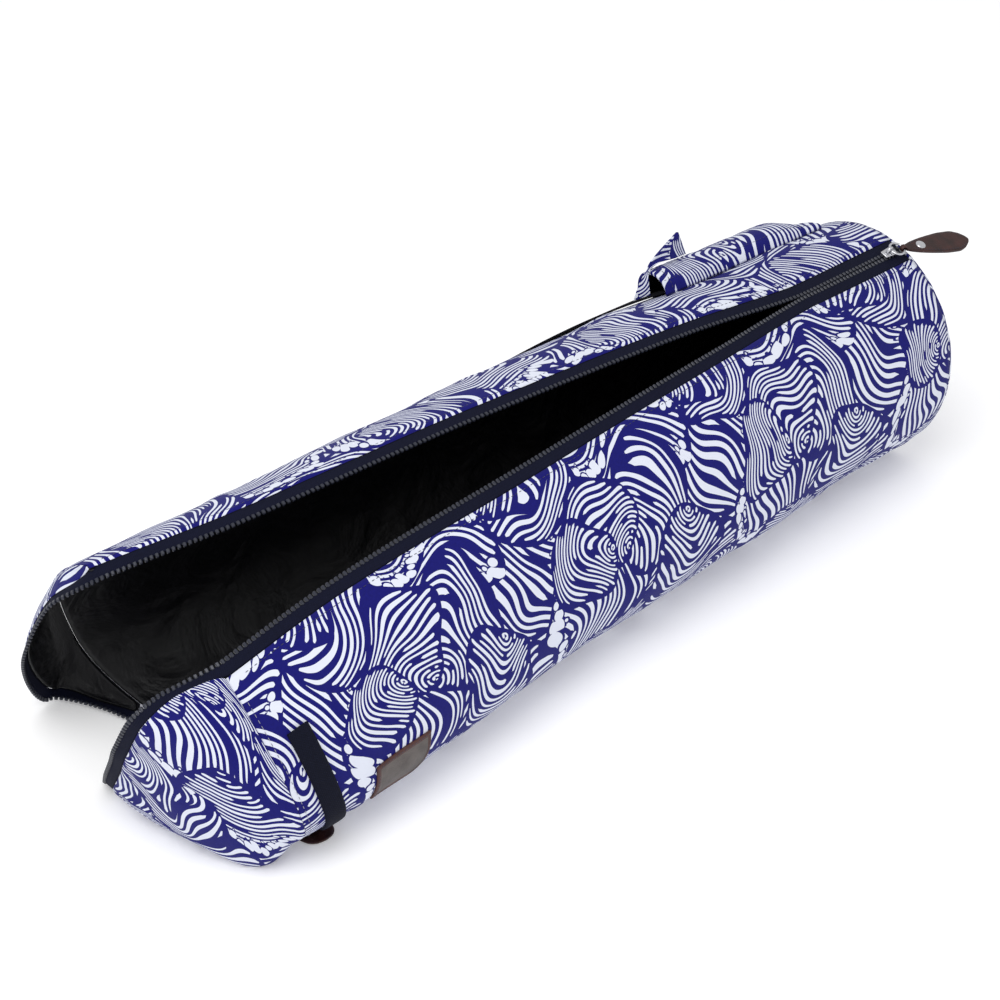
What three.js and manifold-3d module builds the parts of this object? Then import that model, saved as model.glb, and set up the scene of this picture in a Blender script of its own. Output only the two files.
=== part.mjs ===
// A soft tube bag for a rolled mat, lying on its side with its zip drawn open.
// Millimetres, +Z up. +X runs along the bag from the open end to the closed end.
// The origin is on the resting face, under the middle of the bag.
import * as THREE from 'three';
import { mergeVertices } from 'three/addons/utils/BufferGeometryUtils.js';
import Module from 'manifold-3d';

const wasm = await Module();
wasm.setup();

// Driving sizes of the bag
const bagLength = 705;
const bagRadius = 93;
const canvasThickness = 1.5;
const liningThickness = 1.0;
const pieceGap = 0.3;

// Zip: a tape and a row of teeth on each side of the opening. The tape shows between the
// canvas and the teeth, and lies just under the bag's outer face.
const tapeShow = 9;
const tapeThickness = 1.2;
const tapeDepth = 0.2;
const toothReach = 2.2;
const toothDepth = 2.6;
const tapeGap = 0.5;
const toothGap = 0.45;
const closedRoom = 0.6;
const zipAngle = 21;

// The seam round the open end leans: this far from the end at the lips and on the underside
const seamAtLips = 5;
const seamAtFoot = 58;

// The bag's cross-sections from the open end to the closed end. "at" is a share of the bag's
// length, the rest are shares of its radius: half widths towards the near side and the far side,
// height of the crown, height of the widest point, half width of the flat the bag rests on.
const sections = [
  { at: 0.000, near: 1.335, far: 1.530, crown: 1.810, belly: 0.480, flat: 0.62 },
  { at: 0.140, near: 1.340, far: 1.380, crown: 1.900, belly: 0.550, flat: 0.46 },
  { at: 0.408, near: 1.150, far: 1.220, crown: 1.980, belly: 0.740, flat: 0.40 },
  { at: 0.675, near: 1.110, far: 1.080, crown: 2.005, belly: 0.930, flat: 0.24 },
  { at: 0.872, near: 1.010, far: 0.990, crown: 2.000, belly: 0.960, flat: 0.14 },
  { at: 1.000, near: 0.975, far: 0.960, crown: 1.990, belly: 0.970, flat: 0.12 },
];

// How far the two lips of the opening stand from the centre plane at the same places, and how
// much the far lip droops, in the same shares
const lips = [
  { at: 0.000, near: -0.770, far: 0.600, droop: 0.105 },
  { at: 0.140, near: -0.690, far: 0.220, droop: 0.060 },
  { at: 0.408, near: -0.585, far: -0.010, droop: 0.030 },
  { at: 0.675, near: -0.485, far: -0.200, droop: 0.015 },
  { at: 0.872, near: -0.385, far: -0.350, droop: 0.005 },
  { at: 1.000, near: -0.375, far: -0.335, droop: 0.000 },
];

// The two halves of the open end's panel, cut apart by the zip, as shares of the radius.
// Each row is a station from the lip (run 0) to the zip's bottom stop (run 1): the zip edge,
// and the fold on which the panel turns between its zip edge and the seam.
const nearPanel = [
  { run: 0.00, edgeX: 0.050, edgeY: -0.770, edgeZ: 1.560, foldX: 0.050, foldY: -0.820, foldZ: 1.530 },
  { run: 0.14, edgeX: -0.270, edgeY: -0.620, edgeZ: 1.450, foldX: -0.080, foldY: -0.940, foldZ: 1.400 },
  { run: 0.28, edgeX: -0.450, edgeY: -0.400, edgeZ: 1.150, foldX: -0.190, foldY: -1.020, foldZ: 1.000 },
  { run: 0.42, edgeX: -0.440, edgeY: -0.200, edgeZ: 0.830, foldX: -0.130, foldY: -1.030, foldZ: 0.450 },
  { run: 0.53, edgeX: -0.380, edgeY: -0.030, edgeZ: 0.580, foldX: -0.020, foldY: -0.920, foldZ: 0.030 },
  { run: 0.66, edgeX: -0.290, edgeY: 0.200, edgeZ: 0.280, foldX: -0.080, foldY: -0.420, foldZ: 0.020 },
  { run: 0.80, edgeX: -0.150, edgeY: 0.420, edgeZ: 0.043, foldX: 0.100, foldY: 0.100, foldZ: 0.010 },
  { run: 1.00, edgeX: 0.380, edgeY: 0.760, edgeZ: 0.015, foldX: 0.480, foldY: 0.780, foldZ: 0.010 },
];
const farPanel = [
  { run: 0.00, edgeX: -0.050, edgeY: 0.600, edgeZ: 1.600, foldX: 0.015, foldY: 0.680, foldZ: 1.620 },
  { run: 0.13, edgeX: -0.190, edgeY: 0.850, edgeZ: 1.376, foldX: 0.010, foldY: 1.020, foldZ: 1.400 },
  { run: 0.33, edgeX: -0.260, edgeY: 1.140, edgeZ: 0.870, foldX: 0.010, foldY: 1.290, foldZ: 1.080 },
  { run: 0.50, edgeX: -0.150, edgeY: 1.370, edgeZ: 0.445, foldX: 0.100, foldY: 1.510, foldZ: 0.650 },
  { run: 0.69, edgeX: 0.120, edgeY: 1.520, edgeZ: 0.040, foldX: 0.310, foldY: 1.570, foldZ: 0.180 },
  { run: 0.85, edgeX: 0.340, edgeY: 1.150, edgeZ: 0.032, foldX: 0.460, foldY: 1.260, foldZ: 0.020 },
  { run: 1.00, edgeX: 0.430, edgeY: 0.900, edgeZ: 0.015, foldX: 0.530, foldY: 0.920, foldZ: 0.010 },
];
const stopColumn = 17;
const stopRun = 0.985;
const firstRun = 0.5;
const lipRoom = 0.7;
const liningBack = 0.15;

// Webbing round the open end, just past the seam. It starts this far below the near lip and
// ends on the far side, at a share of the way round.
const webbingWidth = 16;
const webbingThickness = 1.5;
const webbingFromSeam = 16;
const webbingTop = 54;
const webbingEnd = 0.80;
const webbingRamp = 6;

// Leather patch on the near side, and the small leather pull under the bag
const labelWidth = 47;
const labelHeight = 30;
const labelThickness = 1.5;
const labelFromEnd = 83;
const labelDown = 121;
const tongueWidth = 26;
const tongueLength = 30;
const tongueThickness = 1.4;
const tongueFromEnd = 56;
const tongueOut = 105;

// Slider at the closed end, its bridge, the ring through it and the riveted leather pull
const sliderFromEnd = 17;
const sliderLength = 13;
const sliderWidth = 9;
const sliderThickness = 2.4;
const bridgeLength = 8;
const bridgeWidth = 2.4;
const bridgeHeight = 5;
const bridgeWall = 1.3;
const ringRadius = 6;
const ringWire = 0.9;
const pullSwing = 17;
const pullLength = 60;
const pullWidth = 21;
const pullThickness = 2.4;
const pullNeck = 4;
const eyeRadius = 2.8;
const eyeHole = 1.6;
const rivetFromEye = 16;
const rivetRadius = 4;
const rivetHeight = 1.2;
const rivetShank = 1.2;

// Printed carrying strap along the far side of the closed end, as angles from the crown and
// shares of the bag's length, the webbing that runs from it to the open end, and the strap's
// part that is folded up behind it
const strapWidth = 60;
const strapThickness = 2.4;
const strapPuff = 17;
const strapMouthWidth = 27;
const strapMouthPuff = 18;
const strapMouthTo = 0.3;
const strapFrom = 0.722;
const strapTo = 0.968;
const strapFlatFrom = 0.78;
const strapEndPuff = 0.3;
const strapAngle = 37;
const strapTuck = 8;
const strapStartAngle = 76;
const webbingRest = 0.8;
const webbingSteps = 18;
const webbingEndAngle = 25.5;
const webbingCurve = 3;
const strapSteps = 14;
const foldSteps = 10;
const foldHeight = 38;
const foldFrom = 0.7128;
const foldAngle = 31;
// Edges of the folded part from its foot on the webbing to its tip, as shares of its height
const foldEdges = [
  { rise: 0.0, leftX: -0.19, leftY: 0.05, leftZ: 0.06, rightX: 0.08, rightY: -0.16, rightZ: 0.18 },
  { rise: 0.2, leftX: -0.09, leftY: 0.05, leftZ: 0.31, rightX: 0.07, rightY: -0.12, rightZ: 0.39 },
  { rise: 0.4, leftX: 0.05, leftY: 0.02, leftZ: 0.58, rightX: 0.10, rightY: -0.04, rightZ: 0.66 },
  { rise: 0.6, leftX: 0.36, leftY: 0.08, leftZ: 0.76, rightX: 0.46, rightY: 0.04, rightZ: 0.74 },
  { rise: 0.8, leftX: 0.88, leftY: 0.21, leftZ: 0.88, rightX: 1.08, rightY: 0.13, rightZ: 0.62 },
  { rise: 1.0, leftX: 1.34, leftY: 0.32, leftZ: 0.97, rightX: 1.46, rightY: 0.20, rightZ: 0.56 },
];

// The closed end's panel: how far it stands out past the body, and its rings from the rim
// inwards, with their reach as a share of the body's outline, how far out each one stands as
// a share of the whole, and how far the panel's face has turned there, in degrees
const endOut = 6;
const endRings = [
  { reach: 1.000, out: 0.00, turn: 0 },
  { reach: 0.988, out: 0.42, turn: 30 },
  { reach: 0.955, out: 0.75, turn: 65 },
  { reach: 0.860, out: 0.92, turn: 84 },
  { reach: 0.450, out: 1.00, turn: 90 },
];

// Numbers of steps of the lofts
const stepsAlong = 17;
const stepsRound = 28;
const stepsEnd = 32;
const fineSteps = 96;
const panelSteps = 6;

const colours = {
  canvas: 0x3a3f96,
  lining: 0x0c0c12,
  navy: 0x22283c,
  black: 0x101014,
  leather: 0x3a1c18,
  label: 0x6a6464,
  metal: 0xc4c6ca,
};

const bag = new THREE.Group();
const degrees = (angle) => THREE.MathUtils.degToRad(angle);
const endX = (share) => (share - 0.5) * bagLength;

// Smooth value of one column of a table between its rows, without overshoot
function column(table, place, key, where) {
  const count = table.length;
  const slope = (i) => (table[i + 1][key] - table[i][key]) / (table[i + 1][place] - table[i][place]);
  const tangent = (i) => {
    if (i === 0) return slope(0);
    if (i === count - 1) return slope(count - 2);
    const before = slope(i - 1);
    const after = slope(i);
    return before * after <= 0 ? 0 : (2 * before * after) / (before + after);
  };
  const at = THREE.MathUtils.clamp(where, table[0][place], table[count - 1][place]);
  let i = 0;
  while (i < count - 2 && at > table[i + 1][place]) i += 1;
  const width = table[i + 1][place] - table[i][place];
  const t = (at - table[i][place]) / width;
  const a = table[i][key];
  const b = table[i + 1][key];
  const s = t * t * (3 - 2 * t);
  return a + (b - a) * s + width * (t * (1 - t) ** 2 * tangent(i) - t * t * (1 - t) * tangent(i + 1));
}

// Height at which the webbing lifts the underside off the floor, by distance from the seam
function webbingLift(fromSeam) {
  const outside = Math.max(
    webbingFromSeam - fromSeam,
    fromSeam - webbingFromSeam - webbingWidth,
    0,
  );
  const full = webbingThickness + 3 * pieceGap;
  return full * THREE.MathUtils.clamp(1 - outside / webbingRamp, 0, 1);
}

// A point of the cross-section at a share of the length, by its angle from the crown, which
// is positive towards the far side
function sectionPoint(at, angle) {
  const size = (key) => column(sections, 'at', key, at) * bagRadius;
  const wide = size(angle < 0 ? 'near' : 'far');
  const belly = size('belly');
  const flat = size('flat');
  const turn = Math.abs(angle);
  const low = turn > Math.PI / 2;
  const width = low ? flat + (wide - flat) * Math.sin(turn) : wide * Math.sin(turn);
  const height = belly + (low ? belly : size('crown') - belly) * Math.cos(turn);
  return new THREE.Vector2(angle < 0 ? -width : width, height);
}

// The cross-section's open outline from the near lip round the underside to the far lip, as
// points with their distances from the near lip. Where the zip is closed, the lips keep the
// room that the two rows of teeth need.
const outlines = new Map();
function outline(at) {
  const name = at.toFixed(5);
  if (outlines.has(name)) return outlines.get(name);
  const wide = (key) => column(sections, 'at', key, at) * bagRadius;
  const lip = (key) => column(lips, 'at', key, at) * bagRadius;
  const lipAngle = (offset) => Math.asin(offset / wide(offset < 0 ? 'near' : 'far'));
  const middle = (lip('far') + lip('near')) / 2;
  const closedHalf = (toothReach + closedRoom) * Math.cos(degrees(zipAngle));
  const halfOpen = Math.max((lip('far') - lip('near')) / 2, closedHalf);
  const nearAngle = lipAngle(middle - halfOpen);
  const farAngle = lipAngle(middle + halfOpen);
  const points = [];
  for (let i = 0; i <= fineSteps; i += 1) {
    points.push(sectionPoint(at, nearAngle + (-Math.PI - nearAngle) * (i / fineSteps)));
  }
  for (let i = 0; i <= fineSteps; i += 1) {
    points.push(sectionPoint(at, Math.PI + (farAngle - Math.PI) * (i / fineSteps)));
  }
  const lengths = [0];
  for (let i = 1; i < points.length; i += 1) {
    lengths.push(lengths[i - 1] + points[i].distanceTo(points[i - 1]));
  }
  const result = { points, lengths, total: lengths[lengths.length - 1], droop: lip('droop') };
  outlines.set(name, result);
  return result;
}

// A point of the section's outline, a distance from the near lip, before any lift
function outlinePoint(at, distance) {
  const { points, lengths, total, droop } = outline(at);
  const along = THREE.MathUtils.clamp(distance, 0, total);
  let i = 1;
  while (i < lengths.length - 1 && lengths[i] < along) i += 1;
  const part = (distance - lengths[i - 1]) / Math.max(lengths[i] - lengths[i - 1], 1e-9);
  const point = points[i - 1].clone().lerp(points[i], part);
  const fromLip = THREE.MathUtils.clamp(1 - (total - distance) / (2 * tapeShow), 0, 1);
  point.y -= droop * fromLip * fromLip;
  return point;
}

// Distance of the leaning seam from the open end, by share of the way from lip to lip
function seamPlace(round) {
  return seamAtLips + (seamAtFoot - seamAtLips) * Math.sin(Math.PI * round) ** 2;
}

// A point of the bag's outer face, by share of the length past the seam and share of the way
// round from lip to lip, both counted between two insets from the lips
function shellPoint(along, round, inset = 0) {
  const start = seamPlace(round);
  const place = start + (bagLength - start) * along;
  const at = place / bagLength;
  const { total } = outline(at);
  const flat = outlinePoint(at, inset + (total - 2 * inset) * round);
  const height = Math.max(flat.y, webbingLift(place - start));
  return new THREE.Vector3(endX(at), flat.x, height);
}

// Unit normals of a grid of points, from the differences of its rows and columns
function gridNormals(grid, flip) {
  return grid.map((row, i) => row.map((point, j) => {
    const above = grid[Math.max(i - 1, 0)][j];
    const below = grid[Math.min(i + 1, grid.length - 1)][j];
    const left = row[Math.max(j - 1, 0)];
    const right = row[Math.min(j + 1, row.length - 1)];
    const normal = below.clone().sub(above).cross(right.clone().sub(left));
    return normal.normalize().multiplyScalar(flip);
  }));
}

// A closed sheet between two offsets of a grid of points along its normals
function sheetGeometry(grid, normals, inner, outer, flip) {
  const rows = grid.length;
  const columns = grid[0].length;
  const offset = (value, i, j) => (typeof value === 'function' ? value(i, j) : value);
  const positions = [];
  [outer, inner].forEach((side) => {
    grid.forEach((row, i) => row.forEach((point, j) => {
      const moved = point.clone().addScaledVector(normals[i][j], offset(side, i, j));
      positions.push(moved.x, moved.y, moved.z);
    }));
  });
  const index = [];
  const id = (side, i, j) => side * rows * columns + i * columns + j;
  const quad = (a, b, c, d) => {
    if (flip > 0) index.push(a, b, c, a, c, d);
    else index.push(a, c, b, a, d, c);
  };
  for (let i = 0; i < rows - 1; i += 1) {
    for (let j = 0; j < columns - 1; j += 1) {
      quad(id(0, i, j), id(0, i + 1, j), id(0, i + 1, j + 1), id(0, i, j + 1));
      quad(id(1, i, j), id(1, i, j + 1), id(1, i + 1, j + 1), id(1, i + 1, j));
    }
  }
  for (let i = 0; i < rows - 1; i += 1) {
    quad(id(0, i, 0), id(1, i, 0), id(1, i + 1, 0), id(0, i + 1, 0));
    const last = columns - 1;
    quad(id(0, i, last), id(0, i + 1, last), id(1, i + 1, last), id(1, i, last));
  }
  for (let j = 0; j < columns - 1; j += 1) {
    quad(id(0, 0, j), id(0, 0, j + 1), id(1, 0, j + 1), id(1, 0, j));
    const last = rows - 1;
    quad(id(0, last, j), id(1, last, j), id(1, last, j + 1), id(0, last, j + 1));
  }
  return closedGeometry(positions, index);
}

function closedGeometry(positions, index) {
  const geometry = new THREE.BufferGeometry();
  geometry.setAttribute('position', new THREE.Float32BufferAttribute(positions, 3));
  geometry.setIndex(index);
  return geometry;
}

function addPiece(name, geometry, colour, roughness = 0.8, metalness = 0) {
  const material = new THREE.MeshStandardMaterial({ color: colour, roughness, metalness });
  const mesh = new THREE.Mesh(geometry, material);
  mesh.name = name;
  bag.add(mesh);
  return mesh;
}

function makeGrid(rows, columns, pointAt) {
  return Array.from({ length: rows + 1 }, (_, i) => (
    Array.from({ length: columns + 1 }, (__, j) => pointAt(i / rows, j / columns))
  ));
}

// Depths of the layers, measured inwards from the bag's outer face
const liningOuter = canvasThickness + pieceGap;
const liningInner = liningOuter + liningThickness;

// The body's canvas tube and the lining inside it, open from lip to lip. Rows are closer
// together at the open end, where the webbing's groove crosses the underside.
const grooveEnd = (webbingFromSeam + webbingWidth + webbingRamp) / bagLength;
const rowShares = [
  0,
  (webbingFromSeam - webbingRamp) / bagLength,
  (webbingFromSeam - pieceGap) / bagLength,
  (webbingFromSeam + webbingWidth + pieceGap) / bagLength,
  grooveEnd,
];
const evenRows = stepsAlong - rowShares.length + 1;
const rowSpread = 1.25;
for (let i = 1; i <= evenRows; i += 1) {
  rowShares.push(grooveEnd + (1 - grooveEnd) * (i / evenRows) ** rowSpread);
}
const stopShare = stopColumn / stepsRound;

// Direction in which the walls on both sides of the seam are thickened, so that they mitre
function seamNormal(round, panelSide) {
  const step = 0.01;
  const seam = shellPoint(0, round, tapeShow);
  const ahead = shellPoint(step, round, tapeShow).sub(seam).normalize();
  const behind = panelSide.clone().sub(seam).normalize();
  const before = shellPoint(0, Math.max(round - step, 0), tapeShow);
  const after = shellPoint(0, Math.min(round + step, 1), tapeShow);
  return after.sub(before).cross(ahead.sub(behind)).normalize();
}

// A point read from three columns of a table that share a name
function tablePoint(name, read) {
  const [x, y, z] = ['X', 'Y', 'Z'].map((axis) => read(name + axis) * bagRadius);
  return new THREE.Vector3(x - bagLength / 2, y, z);
}

// A point of one half of the open end's panel, by its run from the lip to the zip's stop and
// the share of the way from the seam (0) to the tooth line (1), held on or above the floor.
// Near the lip the table's rows fade into the body's own lip.
function panelPoint(table, isFar, run, across) {
  const here = (name) => tablePoint(name, (key) => column(table, 'run', key, run));
  const first = (name) => tablePoint(name, (key) => table[0][key]);
  const side = isFar ? 1 : 0;
  const seam = shellPoint(0, isFar ? 1 - run * (1 - stopShare) : run * stopShare, tapeShow);
  const lip = shellPoint(0, side);
  const lipFold = shellPoint(0, side, tapeShow / 2);
  const fade = 1 - THREE.MathUtils.smoothstep(run, 0, table[1].run);
  const edge = here('edge').addScaledVector(lip.sub(first('edge')), fade);
  const fold = here('fold').addScaledVector(lipFold.sub(first('fold')), fade);
  const point = new THREE.Vector3()
    .addScaledVector(seam, (1 - across) * (1 - 2 * across))
    .addScaledVector(fold, 4 * across * (1 - across))
    .addScaledVector(edge, across * (2 * across - 1));
  point.z = Math.max(point.z, 0);
  return point;
}

// A panel station walked from its tooth line to the seam, with the distance at each step
function panelWalk(table, isFar, run) {
  const steps = [{ point: panelPoint(table, isFar, run, 1), total: 0 }];
  for (let i = 1; i <= fineSteps; i += 1) {
    const point = panelPoint(table, isFar, run, 1 - i / fineSteps);
    const last = steps[i - 1];
    steps.push({ point, total: last.total + point.distanceTo(last.point) });
  }
  return steps;
}

// A point of a panel station at a real distance from its tooth line. A negative distance
// stands past the tooth line, in the opening.
function panelAt(steps, distance) {
  let i = 1;
  while (i < steps.length - 1 && steps[i].total < distance) i += 1;
  const before = steps[i - 1];
  const after = steps[i];
  const part = (distance - before.total) / Math.max(after.total - before.total, 1e-9);
  return before.point.clone().lerp(after.point, part);
}

const halves = [
  { side: 'near', table: nearPanel, isFar: false, flip: -1, columns: stopColumn },
  { side: 'far', table: farPanel, isFar: true, flip: 1, columns: stepsRound - stopColumn },
];

// Point just off the seam on the panels' side, by share of the way round
function besideSeam(round) {
  const { table, isFar, columns } = halves[round > stopShare ? 1 : 0];
  const run = isFar ? (1 - round) / (1 - stopShare) : round / stopShare;
  return panelPoint(table, isFar, THREE.MathUtils.clamp(run, firstRun / columns, 1), 0.04);
}

// The body's outer face as a grid, with the directions in which its walls are thickened
const bodyGrid = rowShares.map((along) => (
  Array.from({ length: stepsRound + 1 }, (_, j) => shellPoint(along, j / stepsRound, tapeShow))
));
const bodyNormals = gridNormals(bodyGrid, -1);
bodyNormals[0] = bodyGrid[0].map((_, j) => seamNormal(j / stepsRound, besideSeam(j / stepsRound)));

// The same for the two halves of the open end's panel. Their stations meet the seam where the
// body's columns do.
halves.forEach((half) => {
  const { table, isFar, columns } = half;
  const runs = [firstRun / columns];
  for (let i = 1; i < columns; i += 1) runs.push(i / columns);
  runs.push(stopRun);
  half.walks = runs.map((run) => panelWalk(table, isFar, run));
  half.grid = half.walks.map((steps) => {
    const length = Math.max(steps[fineSteps].total - pieceGap - tapeShow, pieceGap);
    return Array.from({ length: panelSteps + 1 }, (_, j) => (
      panelAt(steps, tapeShow + length * (1 - j / panelSteps))
    ));
  });
  half.grid[0].forEach((point) => point.setX(point.x - lipRoom));
  half.normals = gridNormals(half.grid, half.flip);
  runs.forEach((run, i) => {
    const round = isFar ? 1 - run * (1 - stopShare) : run * stopShare;
    half.normals[i][0] = seamNormal(round, besideSeam(round));
  });
  half.normals[0] = half.normals[0].map(() => bodyNormals[0][isFar ? stepsRound : 0].clone());
});

function addBody() {
  const canvas = sheetGeometry(bodyGrid, bodyNormals, -canvasThickness, 0, -1);
  addPiece('body_canvas', canvas, colours.canvas);
  const backed = ([seam, next, ...others]) => (
    [seam.map((point, j) => point.clone().lerp(next[j], liningBack)), next, ...others]
  );
  const [grid, normals] = [backed(bodyGrid), backed(bodyNormals)];
  const lining = sheetGeometry(grid, normals, -liningInner, -liningOuter, -1);
  addPiece('body_lining', lining, colours.lining, 0.4);
}

function addOpenEnd({ side, grid, normals, flip }) {
  const canvas = sheetGeometry(grid, normals, -canvasThickness, 0, flip);
  addPiece(`end_panel_${side}`, canvas, colours.canvas);
  const lining = sheetGeometry(grid, normals, -liningInner, -liningOuter, flip);
  addPiece(`end_lining_${side}`, lining, colours.lining, 0.4);
}

// One side of the zip: rows across it, from the closed end along the lip to the open end and
// on down the panel's edge to the stop, at two distances from the tooth line. Its walls are
// thickened as the canvas beside them is.
function zipRows({ isFar, walks, normals }, from, to) {
  const lipColumn = isFar ? stepsRound : 0;
  const rows = rowShares.map((share, i) => {
    const place = seamAtLips + (bagLength - seamAtLips) * share;
    const { total } = outline(place / bagLength);
    const points = [from, to].map((distance) => {
      const flat = outlinePoint(place / bagLength, isFar ? total - distance : distance);
      return new THREE.Vector3(place - bagLength / 2, flat.x, flat.y);
    });
    return { points, normal: bodyNormals[i][lipColumn] };
  });
  rows.reverse();
  walks.forEach((steps, i) => {
    const points = [from, to].map((distance) => panelAt(steps, distance));
    rows.push({ points, normal: normals[i][panelSteps] });
  });
  return {
    grid: rows.map(({ points }) => points),
    directions: rows.map(({ normal }) => [normal, normal]),
  };
}

function addZip(half) {
  const { side, flip } = half;
  const tape = zipRows(half, pieceGap / 2, tapeShow - tapeGap);
  const tapeInner = -tapeDepth - tapeThickness;
  const strip = sheetGeometry(tape.grid, tape.directions, tapeInner, -tapeDepth, -flip);
  addPiece(`zip_tape_${side}`, strip, colours.navy, 0.9);
  const teeth = zipRows(half, -toothReach, pieceGap / 2 - toothGap);
  const outer = toothDepth / 2 - tapeDepth - tapeThickness / 2;
  const rail = sheetGeometry(teeth.grid, teeth.directions, outer - toothDepth, outer, -flip);
  addPiece(`zip_teeth_${side}`, rail, colours.black, 0.5);
}

// The closed end's panel and its lining, as rings from the rim to a middle point
function capGeometry(inner, outer) {
  const { points, lengths, total } = outline(1);
  const centre = new THREE.Vector2(0, column(sections, 'at', 'belly', 1) * bagRadius);
  const ring = Array.from({ length: stepsEnd }, (_, j) => {
    const i = lengths.findIndex((length) => length >= (total * j) / (stepsEnd - 1) - 1e-6);
    return points[i < 0 ? points.length - 1 : i].clone();
  });
  const positions = [];
  const startX = endX(1) + pieceGap;
  [outer, inner].forEach((depth) => {
    endRings.forEach(({ reach, out, turn }) => {
      const shrink = (depth * Math.cos(degrees(turn))) / bagRadius;
      const x = startX + out * endOut - depth * Math.sin(degrees(turn));
      ring.forEach((point) => {
        const spot = centre.clone().lerp(point, reach - shrink);
        positions.push(x, spot.x, spot.y);
      });
    });
    positions.push(startX + endOut - depth, centre.x, centre.y);
  });
  const rings = endRings.length;
  const side = rings * stepsEnd + 1;
  const id = (layer, i, j) => layer * side + i * stepsEnd + (j % stepsEnd);
  const index = [];
  const quad = (a, b, c, d) => index.push(a, b, c, a, c, d);
  for (let j = 0; j < stepsEnd; j += 1) {
    for (let i = 0; i < rings - 1; i += 1) {
      quad(id(0, i, j), id(0, i, j + 1), id(0, i + 1, j + 1), id(0, i + 1, j));
      quad(id(1, i, j), id(1, i + 1, j), id(1, i + 1, j + 1), id(1, i, j + 1));
    }
    index.push(id(0, rings - 1, j), id(0, rings - 1, j + 1), side - 1);
    index.push(id(1, rings - 1, j + 1), id(1, rings - 1, j), 2 * side - 1);
    quad(id(0, 0, j), id(1, 0, j), id(1, 0, j + 1), id(0, 0, j + 1));
  }
  return closedGeometry(positions, index);
}

// Webbing sewn on the near side, carried round the underside to the far side. It turns where
// the body's columns do.
function addEndWebbing() {
  const { total } = outline(seamAtFoot / bagLength);
  const top = webbingTop / total;
  const rounds = [top];
  for (let j = 0; j <= stepsRound; j += 1) {
    const round = j / stepsRound;
    if (round > top && round < webbingEnd) rounds.push(round);
  }
  rounds.push(webbingEnd);
  const grid = rounds.map((round) => [0, 1].map((across) => (
    shellPoint((webbingFromSeam + webbingWidth * across) / bagLength, round, tapeShow)
  )));
  const normals = gridNormals(grid, 1);
  const strip = sheetGeometry(grid, normals, pieceGap, pieceGap + webbingThickness, 1);
  addPiece('end_webbing', strip, colours.navy, 0.9);
}

function addLabel() {
  const grid = makeGrid(6, 5, (along, down) => {
    const at = (labelFromEnd + labelWidth * along) / bagLength;
    const flat = outlinePoint(at, labelDown + labelHeight * down);
    return new THREE.Vector3(endX(at), flat.x, flat.y);
  });
  const normals = gridNormals(grid, -1);
  const patch = sheetGeometry(grid, normals, pieceGap, pieceGap + labelThickness, -1);
  addPiece('leather_label', patch, colours.label, 0.7);
}

// The strap along the far side, puffed between its two edges, and its webbing
function strapGrid(steps, across, pointAt) {
  return makeGrid(steps, across, (along, side) => {
    const { at, angle } = pointAt(along, side);
    const flat = sectionPoint(at, degrees(angle));
    return new THREE.Vector3(endX(at), flat.x, flat.y);
  });
}

const degreesPerMm = 180 / (Math.PI * bagRadius);
const strapArch = (side) => Math.sqrt(Math.max(1 - (2 * side - 1) ** 2, 0));

function addStrap() {
  const across = 8;
  const opened = (along) => THREE.MathUtils.smoothstep(along, 0, strapMouthTo);
  const widthAt = (along) => strapMouthWidth + (strapWidth - strapMouthWidth) * opened(along);
  const grid = strapGrid(strapSteps, across, (along, side) => ({
    at: strapFrom + (strapTo - strapFrom) * along,
    angle: strapAngle + (side * widthAt(along) - strapWidth / 2) * degreesPerMm,
  }));
  const normals = gridNormals(grid, 1);
  const puffAt = (along) => (strapMouthPuff + (strapPuff - strapMouthPuff) * opened(along))
    * (1 - (1 - strapEndPuff) * THREE.MathUtils.smoothstep(along, strapFlatFrom, 1));
  const lift = (i, j) => pieceGap + puffAt(i / strapSteps) * strapArch(j / across);
  const outer = (i, j) => lift(i, j) + strapThickness;
  addPiece('strap_band', sheetGeometry(grid, normals, lift, outer, 1), colours.canvas);
  const start = seamPlace(webbingEnd) + webbingFromSeam;
  const end = strapFrom * bagLength + strapTuck;
  const webGrid = strapGrid(webbingSteps, 1, (along, side) => ({
    at: (start + (end - start) * along) / bagLength,
    angle: strapStartAngle + (webbingEndAngle - strapStartAngle) * along ** webbingCurve
      + (side - 0.5) * webbingWidth * degreesPerMm,
  }));
  const webNormals = gridNormals(webGrid, 1);
  const over = (i) => 1 - THREE.MathUtils.smoothstep(i, 1, 2);
  const rest = (i) => webbingRest + (webbingThickness + 2 * pieceGap) * over(i);
  const face = (i) => rest(i) + webbingThickness;
  addPiece('strap_webbing', sheetGeometry(webGrid, webNormals, rest, face, 1), colours.black, 0.9);
}

// The strap's folded part stands in front of the band's mouth and leans over it to its tip
function addStrapFold() {
  const foot = strapGrid(1, 1, () => ({ at: foldFrom, angle: foldAngle }))[0][0];
  const grid = makeGrid(foldSteps, 2, (along, side) => {
    const edge = (name) => column(foldEdges, 'rise', name, along);
    const between = (left, right) => edge(left) + (edge(right) - edge(left)) * side;
    const [x, y, z] = ['X', 'Y', 'Z'].map((axis) => between('left' + axis, 'right' + axis) * foldHeight);
    return new THREE.Vector3(foot.x + x, foot.y + y, foot.z + z);
  });
  const normals = gridNormals(grid, 1);
  addPiece('strap_fold', sheetGeometry(grid, normals, 0, strapThickness, 1), colours.canvas);
}

// Solids joined and cut
function toSolid(geometry) {
  const plain = geometry.clone();
  plain.deleteAttribute('normal');
  plain.deleteAttribute('uv');
  const merged = mergeVertices(plain, 1e-4);
  const vertProperties = new Float32Array(merged.attributes.position.array);
  const triVerts = new Uint32Array(merged.index.array);
  return new wasm.Manifold(new wasm.Mesh({ numProp: 3, vertProperties, triVerts }));
}

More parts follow.
